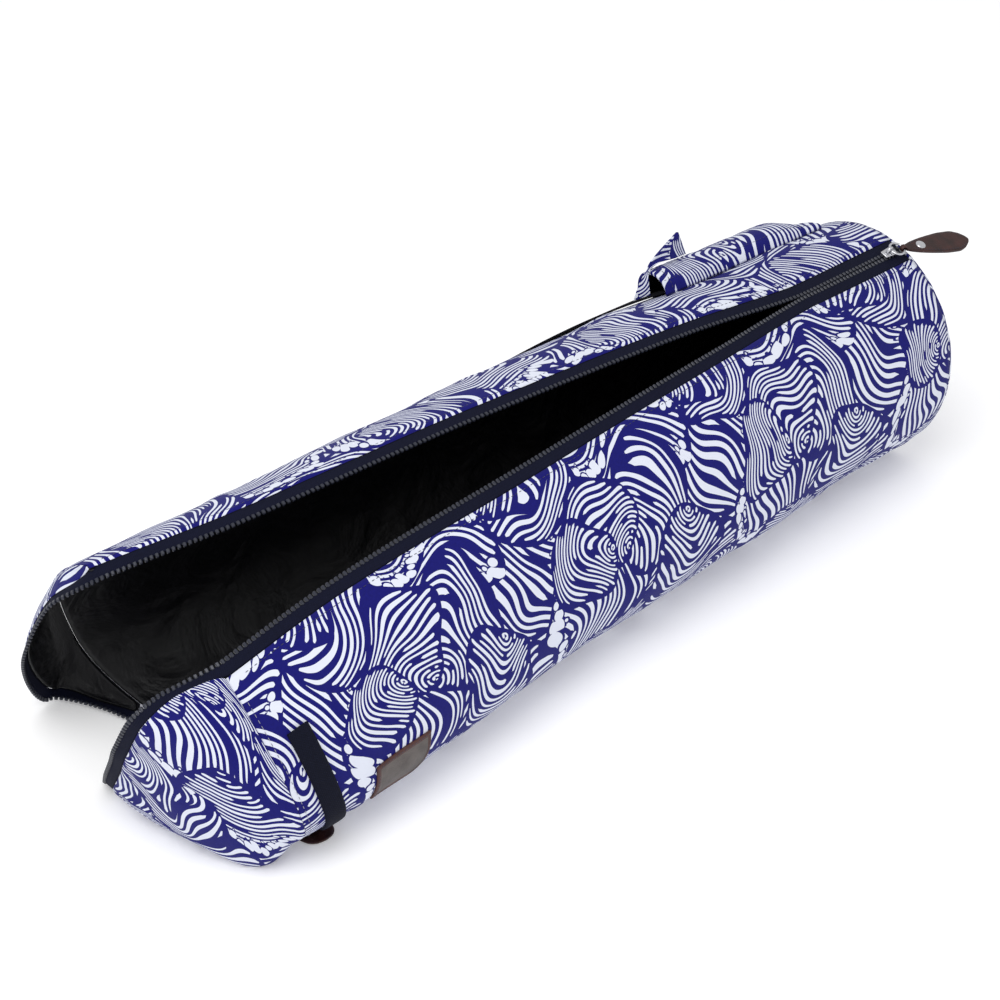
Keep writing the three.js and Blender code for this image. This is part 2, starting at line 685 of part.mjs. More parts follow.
function fromSolid(solid) {
  const mesh = solid.getMesh();
  return closedGeometry(Array.from(mesh.vertProperties), Array.from(mesh.triVerts));
}

function rectangle(fromX, fromY, toX, toY) {
  return new THREE.Shape()
    .moveTo(fromX, fromY).lineTo(toX, fromY).lineTo(toX, toY).lineTo(fromX, toY);
}

function extruded(shape, depth, curveSegments = 8) {
  return new THREE.ExtrudeGeometry(shape, { depth, bevelEnabled: false, curveSegments });
}

// Leaf outline of the leather pull, from its neck at the ring to its rounded tip
function leafShape(length, width, neck) {
  return new THREE.Shape()
    .moveTo(0, -neck / 2)
    .bezierCurveTo(length * 0.16, -neck / 2, length * 0.30, -width / 2, length * 0.66, -width / 2)
    .bezierCurveTo(length * 0.88, -width / 2, length, -width * 0.28, length, 0)
    .bezierCurveTo(length, width * 0.28, length * 0.88, width / 2, length * 0.66, width / 2)
    .bezierCurveTo(length * 0.30, width / 2, length * 0.16, neck / 2, 0, neck / 2);
}

function addSliderAndPull() {
  const at = (bagLength - sliderFromEnd) / bagLength;
  const { total } = outline(at);
  const nearLip = outlinePoint(at, 0);
  const farLip = outlinePoint(at, total);
  const middle = nearLip.clone().add(farLip).multiplyScalar(0.5);
  const zipGroup = new THREE.Group();
  zipGroup.position.set(endX(at), middle.x, middle.y);
  zipGroup.rotation.x = degrees(zipAngle);
  bag.add(zipGroup);
  const base = toothDepth / 2 - tapeDepth - tapeThickness / 2 + pieceGap + 0.4;

  const plate = extruded(
    rectangle(-sliderLength / 2, -sliderWidth / 2, sliderLength / 2, sliderWidth / 2),
    sliderThickness,
  );
  const arch = rectangle(-bridgeLength / 2, -sliderThickness / 2, bridgeLength / 2, bridgeHeight);
  arch.holes.push(new THREE.Path()
    .moveTo(-bridgeLength / 2 + bridgeWall, 0)
    .lineTo(-bridgeLength / 2 + bridgeWall, bridgeHeight - bridgeWall)
    .lineTo(bridgeLength / 2 - bridgeWall, bridgeHeight - bridgeWall)
    .lineTo(bridgeLength / 2 - bridgeWall, 0));
  const archSolid = extruded(arch, bridgeWidth);
  archSolid.translate(0, 0, -bridgeWidth / 2).rotateX(Math.PI / 2).translate(0, 0, sliderThickness);
  const slider = fromSolid(toSolid(plate).add(toSolid(archSolid)));
  slider.translate(0, 0, base);
  const sliderMesh = addPiece('zip_slider', slider, colours.metal, 0.25, 1);
  zipGroup.add(sliderMesh);

  const swing = new THREE.Group();
  const archMiddle = base + sliderThickness + (bridgeHeight - bridgeWall) / 2;
  swing.position.set(bridgeLength / 2 - bridgeWall - ringWire - 3 * pieceGap, 0, archMiddle);
  swing.rotation.z = -degrees(pullSwing);
  zipGroup.add(swing);
  const ring = new THREE.TorusGeometry(ringRadius, ringWire, 8, 16);
  ring.deleteAttribute('uv');
  ring.deleteAttribute('normal');
  const ringMesh = addPiece('pull_ring', mergeVertices(ring, 1e-4), colours.metal, 0.25, 1);
  ringMesh.position.set(ringRadius, 0, 0);
  swing.add(ringMesh);

  const leaf = extruded(leafShape(pullLength, pullWidth, pullNeck), pullThickness);
  leaf.translate(eyeRadius - 0.6, 0, -pullThickness / 2);
  const eye = extruded(new THREE.Shape().absarc(0, 0, eyeRadius, 0, 2 * Math.PI), pullNeck);
  eye.translate(0, 0, -pullNeck / 2).rotateX(Math.PI / 2);
  const bore = extruded(new THREE.Shape().absarc(0, 0, eyeHole, 0, 2 * Math.PI), pullNeck * 2);
  bore.translate(0, 0, -pullNeck).rotateX(Math.PI / 2);
  const shankHole = extruded(
    new THREE.Shape().absarc(rivetFromEye, 0, rivetShank + pieceGap, 0, 2 * Math.PI),
    pullThickness * 2,
  );
  shankHole.translate(0, 0, -pullThickness);
  const pull = toSolid(leaf).add(toSolid(eye)).subtract(toSolid(bore)).subtract(toSolid(shankHole));
  const pullMesh = addPiece('pull_leather', fromSolid(pull), colours.leather, 0.55);
  pullMesh.position.set(2 * ringRadius, 0, 0);
  swing.add(pullMesh);

  const face = pullThickness / 2 + pieceGap;
  const profile = [
    new THREE.Vector2(0, -face - rivetHeight),
    new THREE.Vector2(rivetRadius, -face - rivetHeight * 0.4),
    new THREE.Vector2(rivetRadius, -face),
    new THREE.Vector2(rivetShank, -face),
    new THREE.Vector2(rivetShank, face),
    new THREE.Vector2(rivetRadius, face),
    new THREE.Vector2(rivetRadius, face + rivetHeight * 0.4),
    new THREE.Vector2(0, face + rivetHeight),
  ];
  const rivet = new THREE.LatheGeometry(profile, 16).rotateX(Math.PI / 2);
  const rivetMesh = addPiece('pull_rivet', fromSolid(toSolid(rivet)), colours.metal, 0.25, 1);
  rivetMesh.position.set(2 * ringRadius + rivetFromEye, 0, 0);
  swing.add(rivetMesh);
}

// Small leather pull that lies flat on the floor and shows past the near side's underside
function addTongue() {
  const half = tongueWidth / 2;
  const shape = new THREE.Shape()
    .moveTo(-half * 0.6, tongueLength)
    .lineTo(-half, tongueLength * 0.4)
    .bezierCurveTo(-half, 0, -half * 0.5, 0, 0, 0)
    .bezierCurveTo(half * 0.5, 0, half, 0, half, tongueLength * 0.4)
    .lineTo(half * 0.6, tongueLength);
  const mesh = addPiece('pocket_pull', extruded(shape, tongueThickness, 6), colours.leather, 0.55);
  mesh.position.set(tongueFromEnd - bagLength / 2, -tongueOut, pieceGap / 2);
}

addBody();
halves.forEach(addOpenEnd);
halves.forEach(addZip);
addPiece('end_panel_closed', capGeometry(canvasThickness, 0), colours.canvas);
addPiece('end_lining_closed', capGeometry(liningInner, liningOuter), colours.lining, 0.4);
addEndWebbing();
addLabel();
addStrap();
addStrapFold();
addSliderAndPull();
addTongue();

export default bag;
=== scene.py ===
import math

import bmesh
import bpy
import numpy as np
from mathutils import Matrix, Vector


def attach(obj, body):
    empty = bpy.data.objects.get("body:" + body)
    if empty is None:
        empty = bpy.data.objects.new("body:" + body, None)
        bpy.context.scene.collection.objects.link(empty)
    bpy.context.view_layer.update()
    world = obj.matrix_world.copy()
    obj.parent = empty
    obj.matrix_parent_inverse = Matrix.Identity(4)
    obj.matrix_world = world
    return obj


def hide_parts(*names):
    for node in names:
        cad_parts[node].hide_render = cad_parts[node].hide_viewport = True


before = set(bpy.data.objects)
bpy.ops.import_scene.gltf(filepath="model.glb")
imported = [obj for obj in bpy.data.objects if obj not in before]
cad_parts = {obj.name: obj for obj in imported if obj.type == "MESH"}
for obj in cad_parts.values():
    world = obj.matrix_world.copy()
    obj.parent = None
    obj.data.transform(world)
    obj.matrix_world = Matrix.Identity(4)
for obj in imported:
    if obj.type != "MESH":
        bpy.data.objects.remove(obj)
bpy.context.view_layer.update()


bpy.ops.object.select_all(action="DESELECT")

# The bag's shape is the part's own, in millimetres: sections by share of its length, and
# widths and heights as shares of its radius
bag = {
    "length": 705.0, "radius": 93.0, "gap": 0.3, "tape": 9.0, "tooth": 2.2, "closedRoom": 0.6,
    "zipAngle": 21.0, "seamAtLips": 5.0, "seamAtFoot": 58.0, "stop": 17 / 28, "lastRun": 0.985,
    "webbingFrom": 16.0, "webbingWidth": 16.0, "webbingRoom": 2.4, "webbingRamp": 6.0,
    "clothRound": 590.0,
}
sections = {
    "at": [0.000, 0.140, 0.408, 0.675, 0.872, 1.000],
    "near": [1.335, 1.340, 1.150, 1.110, 1.010, 0.975],
    "far": [1.530, 1.380, 1.220, 1.080, 0.990, 0.960],
    "crown": [1.810, 1.900, 1.980, 2.005, 2.000, 1.990],
    "belly": [0.480, 0.550, 0.740, 0.930, 0.960, 0.970],
    "flat": [0.62, 0.46, 0.40, 0.24, 0.14, 0.12],
    "nearLip": [-0.770, -0.690, -0.585, -0.485, -0.385, -0.375],
    "farLip": [0.600, 0.220, -0.010, -0.200, -0.350, -0.335],
    "droop": [0.105, 0.060, 0.030, 0.015, 0.005, 0.000],
}
nearPanel = {
    "run": [0.00, 0.14, 0.28, 0.42, 0.53, 0.66, 0.80, 1.00],
    "edgeX": [0.050, -0.270, -0.450, -0.440, -0.380, -0.290, -0.150, 0.380],
    "edgeY": [-0.770, -0.620, -0.400, -0.200, -0.030, 0.200, 0.420, 0.760],
    "edgeZ": [1.560, 1.450, 1.150, 0.830, 0.580, 0.280, 0.043, 0.015],
    "foldX": [0.050, -0.080, -0.190, -0.130, -0.020, -0.080, 0.100, 0.480],
    "foldY": [-0.820, -0.940, -1.020, -1.030, -0.920, -0.420, 0.100, 0.780],
    "foldZ": [1.530, 1.400, 1.000, 0.450, 0.030, 0.020, 0.010, 0.010],
}
farPanel = {
    "run": [0.00, 0.13, 0.33, 0.50, 0.69, 0.85, 1.00],
    "edgeX": [-0.050, -0.190, -0.260, -0.150, 0.120, 0.340, 0.430],
    "edgeY": [0.600, 0.850, 1.140, 1.370, 1.520, 1.150, 0.900],
    "edgeZ": [1.600, 1.376, 0.870, 0.445, 0.040, 0.032, 0.015],
    "foldX": [0.015, 0.010, 0.010, 0.100, 0.310, 0.460, 0.530],
    "foldY": [0.680, 1.020, 1.290, 1.510, 1.570, 1.260, 0.920],
    "foldZ": [1.620, 1.400, 1.080, 0.650, 0.180, 0.020, 0.010],
}


def smoothColumn(table, place, key, where):
    places = np.array(table[place], float)
    values = np.array(table[key], float)
    where = np.clip(np.asarray(where, float), places[0], places[-1])
    width = np.diff(places)
    slope = np.diff(values) / width
    tangent = np.concatenate([slope[:1], np.zeros(len(slope) - 1), slope[-1:]])
    before, after = slope[:-1], slope[1:]
    total = np.where(before + after == 0, 1, before + after)
    tangent[1:-1] = np.where(before * after > 0, 2 * before * after / total, 0)
    i = np.clip(np.searchsorted(places, where, side="left") - 1, 0, len(width) - 1)
    t = (where - places[i]) / width[i]
    s = t * t * (3 - 2 * t)
    bend = t * (1 - t) ** 2 * tangent[i] - t * t * (1 - t) * tangent[i + 1]
    return values[i] + (values[i + 1] - values[i]) * s + width[i] * bend


def smoothStep(value, low, high):
    t = np.clip((np.asarray(value, float) - low) / (high - low), 0, 1)
    return t * t * (3 - 2 * t)


def shareGrid(rows, columns):
    return np.linspace(0, 1, rows)[:, None], np.linspace(0, 1, columns)[None, :]


def stepLengths(points):
    # the distance walked to each point of a line
    steps = np.linalg.norm(np.diff(points, axis=0), axis=1)
    return np.concatenate([[0], np.cumsum(steps)])


def unit(vectors):
    return vectors / np.maximum(np.linalg.norm(vectors, axis=-1, keepdims=True), 1e-9)


def gridNormals(grid, flip):
    rows = np.concatenate([grid[1:], grid[-1:]]) - np.concatenate([grid[:1], grid[:-1]])
    columns = (np.concatenate([grid[:, 1:], grid[:, -1:]], 1)
               - np.concatenate([grid[:, :1], grid[:, :-1]], 1))
    return unit(np.cross(rows, columns)) * flip


def sectionSize(key, at):
    return smoothColumn(sections, "at", key, at) * bag["radius"]


def sectionPoint(at, angle):
    # side offset and height of the outer face, by the angle from the crown
    at, angle = np.broadcast_arrays(np.asarray(at, float), np.asarray(angle, float))
    wide = np.where(angle < 0, sectionSize("near", at), sectionSize("far", at))
    belly, flat, crown = (sectionSize(key, at) for key in ("belly", "flat", "crown"))
    turn = np.abs(angle)
    low = turn > math.pi / 2
    width = np.where(low, flat + (wide - flat) * np.sin(turn), wide * np.sin(turn))
    height = belly + np.where(low, belly, crown - belly) * np.cos(turn)
    return np.stack([np.where(angle < 0, -width, width), height], -1)


def makeOutlines(stations=281, steps=1025, fine=384):
    # the section's open outline from lip to lip at each station, evenly spaced
    table, totals = [], []
    for at in np.linspace(0, 1, stations):
        near, far = sectionSize("nearLip", at), sectionSize("farLip", at)
        closed = (bag["tooth"] + bag["closedRoom"]) * math.cos(math.radians(bag["zipAngle"]))
        middle, half = (far + near) / 2, max((far - near) / 2, closed)
        ends = []
        for offset in (middle - half, middle + half):
            side = "near" if offset < 0 else "far"
            ends.append(math.asin(offset / sectionSize(side, at)))
        angles = np.concatenate([
            np.linspace(ends[0], -math.pi, fine), np.linspace(math.pi, ends[1], fine)])
        points = sectionPoint(at, angles)
        lengths = stepLengths(points)
        even = np.linspace(0, lengths[-1], steps)
        table.append([np.interp(even, lengths, points[:, k]) for k in (0, 1)])
        totals.append(lengths[-1])
    return np.array(table).transpose(0, 2, 1), np.array(totals)


outlineTable, outlineTotals = makeOutlines()


def girth(at):
    return np.interp(at, np.linspace(0, 1, len(outlineTotals)), outlineTotals)


def outlinePoint(at, distance):
    at, distance = np.broadcast_arrays(np.asarray(at, float), np.asarray(distance, float))
    rows, steps = outlineTable.shape[:2]
    total = girth(at)
    i = np.clip((at * (rows - 1)).astype(int), 0, rows - 2)
    ti = (at * (rows - 1) - i)[..., None]
    m = distance / total * (steps - 1)
    j = np.clip(np.floor(m).astype(int), 0, steps - 2)
    tj = (m - j)[..., None]
    low = outlineTable[i, j] * (1 - tj) + outlineTable[i, j + 1] * tj
    high = outlineTable[i + 1, j] * (1 - tj) + outlineTable[i + 1, j + 1] * tj
    point = low * (1 - ti) + high * ti
    fromLip = np.clip(1 - (total - distance) / (2 * bag["tape"]), 0, 1)
    point[..., 1] -= sectionSize("droop", at) * fromLip ** 2
    return point


def toFrame(place, flat):
    # a point of the part, from its place along the bag and its section's offset and height
    place = np.broadcast_to(place, flat.shape[:-1])
    return np.stack([place - bag["length"] / 2, flat[..., 0], flat[..., 1]], -1)


def seamPlace(around):
    lips, foot = bag["seamAtLips"], bag["seamAtFoot"]
    return lips + (foot - lips) * np.sin(math.pi * np.asarray(around, float)) ** 2


def webbingLift(fromSeam):
    # room for the end webbing where the bag lies on it
    start = bag["webbingFrom"]
    outside = np.maximum(start - fromSeam, fromSeam - start - bag["webbingWidth"])
    return bag["webbingRoom"] * np.clip(1 - np.maximum(outside, 0) / bag["webbingRamp"], 0, 1)


def shellPoint(along, around, inset=0.0):
    along, around = np.broadcast_arrays(np.asarray(along, float), np.asarray(around, float))
    start = seamPlace(around)
    place = start + (bag["length"] - start) * along
    at = place / bag["length"]
    flat = outlinePoint(at, inset + (girth(at) - 2 * inset) * around)
    flat[..., 1] = np.maximum(flat[..., 1], webbingLift(place - start))
    return toFrame(place, flat)


def panelRound(isFar, run):
    return 1 - run * (1 - bag["stop"]) if isFar else run * bag["stop"]


def panelPoint(table, isFar, run, across):
    run, across = np.broadcast_arrays(np.asarray(run, float), np.asarray(across, float))
    side = 1.0 if isFar else 0.0
    seam = shellPoint(0, panelRound(isFar, run), bag["tape"])
    lip = shellPoint(0, side)
    lipFold = shellPoint(0, side, bag["tape"] / 2)
    fade = (1 - smoothStep(run, 0, table["run"][1]))[..., None]
    spots = []
    for name, target in (("edge", lip), ("fold", lipFold)):
        here = np.stack([smoothColumn(table, "run", name + axis, run) for axis in "XYZ"], -1)
        first = np.array([table[name + axis][0] for axis in "XYZ"])
        shift = np.array([bag["length"] / 2, 0, 0])
        here, first = here * bag["radius"] - shift, first * bag["radius"] - shift
        spots.append(here + (target - first) * fade)
    edge, fold = spots
    a = across[..., None]
    point = seam * (1 - a) * (1 - 2 * a) + fold * 4 * a * (1 - a) + edge * a * (2 * a - 1)
    point[..., 2] = np.maximum(point[..., 2], 0)
    return point


def panelWalk(table, isFar, runs, fine=160):
    # each station walked from its tooth line to the seam, with the distance at each step
    across = 1 - np.linspace(0, 1, fine + 1)
    points = panelPoint(table, isFar, np.asarray(runs)[:, None], across[None, :])
    step = np.linalg.norm(np.diff(points, axis=1), axis=2)
    lengths = np.concatenate([np.zeros((len(points), 1)), np.cumsum(step, 1)], 1)
    return points, lengths


def panelAt(walk, i, distance):
    points, lengths = walk[0][i], walk[1][i]
    j = np.clip(np.searchsorted(lengths, distance) - 1, 0, len(lengths) - 2)
    t = (distance - lengths[j]) / np.maximum(lengths[j + 1] - lengths[j], 1e-9)
    return points[j] + (points[j + 1] - points[j]) * np.asarray(t)[..., None]


def finishPiece(piece, finish, *nodes, slot=None):
    piece.data.materials.clear()
    piece.data.materials.append(finishes[finish])
    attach(piece, "root")
    if nodes:
        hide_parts(*nodes)
    return piece


def meshPiece(name, vertices, faces, cloth=None, smooth=True):
    mesh = bpy.data.meshes.new(name)
    mesh.from_pydata((np.asarray(vertices) * 0.001).tolist(), [], faces)
    if cloth is not None:
        layer = mesh.uv_layers.new(name="cloth")
        loops = np.zeros(len(mesh.loops), int)
        mesh.loops.foreach_get("vertex_index", loops)
        layer.data.foreach_set("uv", (np.asarray(cloth)[loops] * 0.001).astype(np.float32).ravel())
    mesh.validate()
    mesh.update()
    piece = bpy.data.objects.new(name, mesh)
    bpy.context.scene.collection.objects.link(piece)
    if smooth:
        mesh.polygons.foreach_set("use_smooth", [True] * len(mesh.polygons))
    return piece


def sheetPiece(name, grid, normals, outer, inner, cloth, flip):
    # a closed sheet between two depths below a grid of points
    rows, columns = grid.shape[:2]
    outer, inner = (np.broadcast_to(np.asarray(depth, float), (rows, columns))[..., None]
                    for depth in (outer, inner))
    vertices = np.concatenate([
        (grid + normals * outer).reshape(-1, 3), (grid + normals * inner).reshape(-1, 3)])
    size = rows * columns
    i, j = np.meshgrid(np.arange(rows - 1), np.arange(columns - 1), indexing="ij")
    a = (i * columns + j).ravel()
    face = np.stack([a, a + columns, a + columns + 1, a + 1], 1)
    faces = [face, face[:, ::-1] + size]
    for ring in (np.arange(rows) * columns, np.arange(rows)[::-1] * columns + columns - 1,
                 np.arange(columns)[::-1], np.arange(columns) + (rows - 1) * columns):
        faces.append(np.stack([ring[1:], ring[:-1], ring[:-1] + size, ring[1:] + size], 1))
    faces = np.concatenate(faces)
    if flip < 0:
        faces = faces[:, ::-1]
    return meshPiece(name, vertices, faces.tolist(), np.concatenate([cloth.reshape(-1, 2)] * 2))


def lineBack(piece, grid, edges=True):
    # the back of a sheet is matt and black, and so may be its cut edges
    piece.data.materials.append(finishes["blackWebbing"])
    front = (grid.shape[0] - 1) * (grid.shape[1] - 1)
    for face in piece.data.polygons[front:None if edges else 2 * front]:
        face.material_index = 1


def editPiece(action):
    bpy.ops.object.mode_set(mode="EDIT")
    bpy.ops.mesh.select_all(action="SELECT")
    action()
    bpy.ops.object.mode_set(mode="OBJECT")
    return bpy.context.object


def takeForm():
    # the active piece's vertices and faces, once the piece itself is removed
    form = bpy.context.object
    vertices = np.array([vertex.co for vertex in form.data.vertices])
    faces = [list(face.vertices) for face in form.data.polygons]
    bpy.data.objects.remove(form)
    return vertices, faces


def copiesPiece(name, form, origins, axes, smooth=False):
    # one mesh of many copies of a form, each turned to its own three directions
    vertices, faces = form
    placed = origins[:, None, :] + np.einsum("vk,nkd->nvd", vertices, axes)
    count = len(vertices)
    every = [[i * count + v for v in face] for i in range(len(origins)) for face in faces]
    return meshPiece(name, placed.reshape(-1, 3), every, smooth=smooth)


print("shape functions ready")


# Materials: a value in a node tree, so that a pattern can be written as plain sums
class Wire:
    def __init__(self, tree, socket):
        self.tree, self.socket = tree, socket

    def math(self, operation, *others):
        inputs = dict(enumerate((self, *others)))
        node = addNode(self.tree, "ShaderNodeMath", inputs, operation=operation)
        return Wire(self.tree, node.outputs[0])

    def __add__(self, other): return self.math("ADD", other)
    def __sub__(self, other): return self.math("SUBTRACT", other)
    def __mul__(self, other): return self.math("MULTIPLY", other)
    def below(self, other): return self.math("LESS_THAN", other)
    def above(self, other): return self.math("GREATER_THAN", other)
    def size(self): return self.math("ABSOLUTE")
    def sine(self): return self.math("SINE")


def joinSocket(tree, value, socket):
    if isinstance(value, Wire):
        tree.links.new(value.socket, socket)
    elif isinstance(value, bpy.types.NodeSocket):
        tree.links.new(value, socket)
    else:
        socket.default_value = value


def addNode(tree, kind, inputs=None, **settings):
    node = tree.nodes.new(kind)
    for name, value in settings.items():
        setattr(node, name, value)
    for name, value in (inputs or {}).items():
        joinSocket(tree, value, node.inputs[name])
    return node


def vectorMath(tree, operation, *values):
    node = addNode(tree, "ShaderNodeVectorMath", dict(enumerate(values)), operation=operation)
    return node.outputs["Value" if operation == "LENGTH" else "Vector"]


def mixColour(tree, factor, low, high):
    return addNode(tree, "ShaderNodeMix", {0: factor, 6: low, 7: high}, data_type="RGBA").outputs[2]


def addNoise(tree, point, scale, detail, **more):
    inputs = {"Vector": point, "Scale": scale, "Detail": detail, **more}
    return Wire(tree, addNode(tree, "ShaderNodeTexNoise", inputs).outputs[0])


def addBump(tree, shader, height, strength, distance):
    inputs = {"Height": height, "Strength": strength, "Distance": distance}
    bump = addNode(tree, "ShaderNodeBump", inputs)
    joinSocket(tree, bump.outputs[0], shader.inputs["Normal"])


def shadeColour(tree, colour, shade):
    node = addNode(tree, "ShaderNodeVectorMath", {0: colour[:3], "Scale": shade}, operation="SCALE")
    return node.outputs[0]


def splitPoint(tree, socket):
    node = addNode(tree, "ShaderNodeSeparateXYZ", {"Vector": socket})
    return [Wire(tree, output) for output in node.outputs]


def newMaterial(name, **sockets):
    material = bpy.data.materials.new(name)
    material.use_nodes = True
    shader = material.node_tree.nodes["Principled BSDF"]
    for key, value in sockets.items():
        shader.inputs[key].default_value = value
    return material, material.node_tree, shader


def linearColour(red, green, blue):
    return tuple(((c / 255 + 0.055) / 1.055) ** 2.4 if c > 10 else c / 255 / 12.92
                 for c in (red, green, blue)) + (1.0,)


def inMillimetres(tree, socket):
    return vectorMath(tree, "MULTIPLY", socket, (1000, 1000, 1000))


def clothPoint(tree):
    return inMillimetres(tree, addNode(tree, "ShaderNodeUVMap", uv_map="cloth").outputs[0])


def objectPoint(tree):
    return inMillimetres(tree, addNode(tree, "ShaderNodeTexCoord").outputs["Object"])


wavePrint = {
    "repeat": 190.0,      # millimetres before the pattern starts again
    "strokes": 9.0,       # strokes across a motif's radius
    "stroke": 0.48,       # share of the pitch that is white
    "swell": 0.05,
    "rim": 0.045,         # bare ground along a motif's border, as a share of its radius
    "tip": 0.045,         # how far from the rim the strokes' ends start to round
    "lean": 1.14,         # how far the middle of the arcs stands off the motif's middle
    "leanSpread": 0.32,
    "wander": 7.0,        # how far hand drawn lines wander, in millimetres
    "wanderScale": 0.021,
    "foam": 38.0,         # foam beads once round a motif
    "foamAt": 0.17,       # how far the foam lies inside the rim
    "foamSize": 0.098,
    "foamBorder": 0.032,
    "foamShare": 0.42,    # the higher, the shorter the stretches of foam
    "white": linearColour(219, 223, 236),
    "navy": linearColour(18, 18, 104),
}

# Wave motifs from the back to the front, in millimetres on the cloth and degrees
waveMotifs = {
    "x": [20, 115, 60, 165, 95, 5, 150, 45, 182, 110, 30, 140, 80, 172, 12, 64, 128, 100],
    "y": [25, 40, 115, 140, 178, 88, 92, 62, 20, 118, 160, 176, 14, 72, 128, 186, 60, 84],
    "turn": [200, 140, 20, 260, 330, 75, 30, 300, 170, 110, 240, 15, 50, 120, 345, 95, 215, 280],
    "wide": [70, 74, 66, 72, 60, 58, 56, 50, 52, 50, 46, 48, 44, 42, 38, 36, 34, 30],
    "tall": [58, 62, 74, 60, 66, 48, 50, 56, 44, 56, 50, 40, 38, 48, 44, 32, 40, 34],
}


def topMotif(tree, point):
    # each motif is a disc laid over those before it. What is carried on is the place in the
    # motif that lies on top, as shares of its radius, with its turn as a small third value
    half = wavePrint["repeat"] / 2
    top = vectorMath(tree, "MULTIPLY", point, (0.02, 0.02, 0))
    for x, y, turn, wide, tall in zip(*waveMotifs.values()):
        moved = vectorMath(tree, "SUBTRACT", point, (x, y, -turn / 360))
        wrapped = vectorMath(tree, "WRAP", moved, (half, half, half), (-half, -half, -half))
        local = vectorMath(tree, "MULTIPLY", wrapped, (1 / wide, 1 / tall, 0.1))
        mask = Wire(tree, vectorMath(tree, "LENGTH", local)).below(1)
        mixed = addNode(tree, "ShaderNodeMix", {0: mask, 4: top, 5: local}, data_type="VECTOR")
        top = mixed.outputs[1]
    return top


def foamInk(x, y, turn, toRim):
    # joined beads along a stretch of some motifs' rims, with drops beside them
    perBead = 2 * math.pi / wavePrint["foam"]
    beads = x.math("ARCTAN2", y) * (1 / perBead)
    number = (beads + 0.5).math("FLOOR")
    along = (beads - number) * perBead
    up = toRim - wavePrint["foamAt"] - (number * 2.2).sine() * 0.05
    size = (number * 1.7).sine() * 0.03 + wavePrint["foamSize"]
    reach = (along * along + up * up).math("SQRT") - size
    drop = up - wavePrint["foamAt"]
    spray = (along * along + drop * drop).math("SQRT") - (number * 2.9).sine() * 0.045
    stretch = (number * perBead + turn * 300).sine().above(wavePrint["foamShare"])
    return reach.math("MINIMUM", spray), stretch


def wavePattern(tree, point):
    top = topMotif(tree, point)
    x, y, turn = splitPoint(tree, top)
    kind = (turn * 700).sine()
    toRim = (x * x + y * y).math("SQRT") * -1 + 1
    turned = addNode(tree, "ShaderNodeVectorRotate", {"Vector": top, "Angle": turn * (20 * math.pi)},
                     rotation_type="Z_AXIS")
    u, v, _ = splitPoint(tree, turned.outputs[0])
    v = v + kind * wavePrint["leanSpread"] + wavePrint["lean"]
    strokes = (u * u + v * v).math("SQRT") * wavePrint["strokes"]
    angle = u.math("ARCTAN2", v)
    band, across = strokes.math("FLOOR"), strokes.math("FRACT")
    swell = (angle * 3 + band * 2.1).sine() * wavePrint["swell"] + wavePrint["stroke"] / 2
    line = (across - 0.5).size() - swell
    gap = ((angle * 1.5 + band * 1.9 + turn * 90).sine() - 0.94).math("MAXIMUM", 0) * 8
    ragged = ((band * 2.4 + turn * 60).sine() + 1) * 0.05 + wavePrint["rim"]
    tip = (ragged - toRim + wavePrint["tip"]).math("MAXIMUM", 0)
    ink = (line + gap + tip * tip * 130).below(0)
    foam, stretch = foamInk(x, y, turn, toRim)
    mask = foam.below(wavePrint["foamBorder"]) * stretch * kind.above(-0.35)
    return ink + (foam.below(0) - ink) * mask


def clothWeave(tree, point, pitch):
    x, y, _ = splitPoint(tree, point)
    turn = 2 * math.pi / pitch
    return ((x * turn).sine() * (y * turn).sine()) * 0.5 + 0.5


def makeCanvas():
    material, tree, shader = newMaterial(
        "printedCanvas", **{"Roughness": 0.85, "Sheen Weight": 0.05, "Sheen Roughness": 0.5,
                            "Specular IOR Level": 0.15})
    point = clothPoint(tree)
    wander = addNode(tree, "ShaderNodeTexNoise",
                     {"Vector": point, "Scale": wavePrint["wanderScale"], "Detail": 0.0},
                     noise_dimensions="2D")
    moved = vectorMath(tree, "SUBTRACT", wander.outputs["Color"], (0.5, 0.5, 0.5))
    moved = vectorMath(tree, "MULTIPLY", moved, (wavePrint["wander"] * 4,) * 3)
    flat = vectorMath(tree, "MULTIPLY", vectorMath(tree, "ADD", point, moved), (1, 1, 0))
    tone = addNoise(tree, point, 0.5, 3.0)
    ground = shadeColour(tree, wavePrint["navy"], tone * 0.5 + 0.75)
    colour = mixColour(tree, wavePattern(tree, flat), ground, wavePrint["white"])
    joinSocket(tree, colour, shader.inputs["Base Color"])
    addBump(tree, shader, clothWeave(tree, point, 1.1) * 0.5 + tone * 0.5, 0.25, 0.0006)
    return material


def makeWoven(name, colour, pitch, ribs=0.0):
    material, tree, shader = newMaterial(name, **{"Roughness": 0.85, "Specular IOR Level": 0.14})
    point = clothPoint(tree)
    weave = clothWeave(tree, point, pitch)
    tone = addNoise(tree, point, 0.35, 4.0)
    ground = shadeColour(tree, colour, weave * 0.5 + tone * 0.6 + 0.45)
    joinSocket(tree, ground, shader.inputs["Base Color"])
    addBump(tree, shader, weave + tone * ribs, 0.4, 0.0005)
    return material


def makeLining():
    material, tree, shader = newMaterial(
        "blackLining", **{"Roughness": 0.38, "Specular IOR Level": 0.5})
    point = clothPoint(tree)
    creasesAndPaintedShade = addNoise(tree, point, 0.016, 4.0, Distortion=1.2)
    # the lining's colour follows the same noise as its creases: painted shade in their hollows and
    # painted highlight on their crests
    ground = shadeColour(tree, linearColour(16, 16, 20), creasesAndPaintedShade * 0.9 + 0.6)
    joinSocket(tree, ground, shader.inputs["Base Color"])
    addBump(tree, shader, creasesAndPaintedShade * 9 + clothWeave(tree, point, 0.8) * 0.15, 0.9, 0.001)
    return material


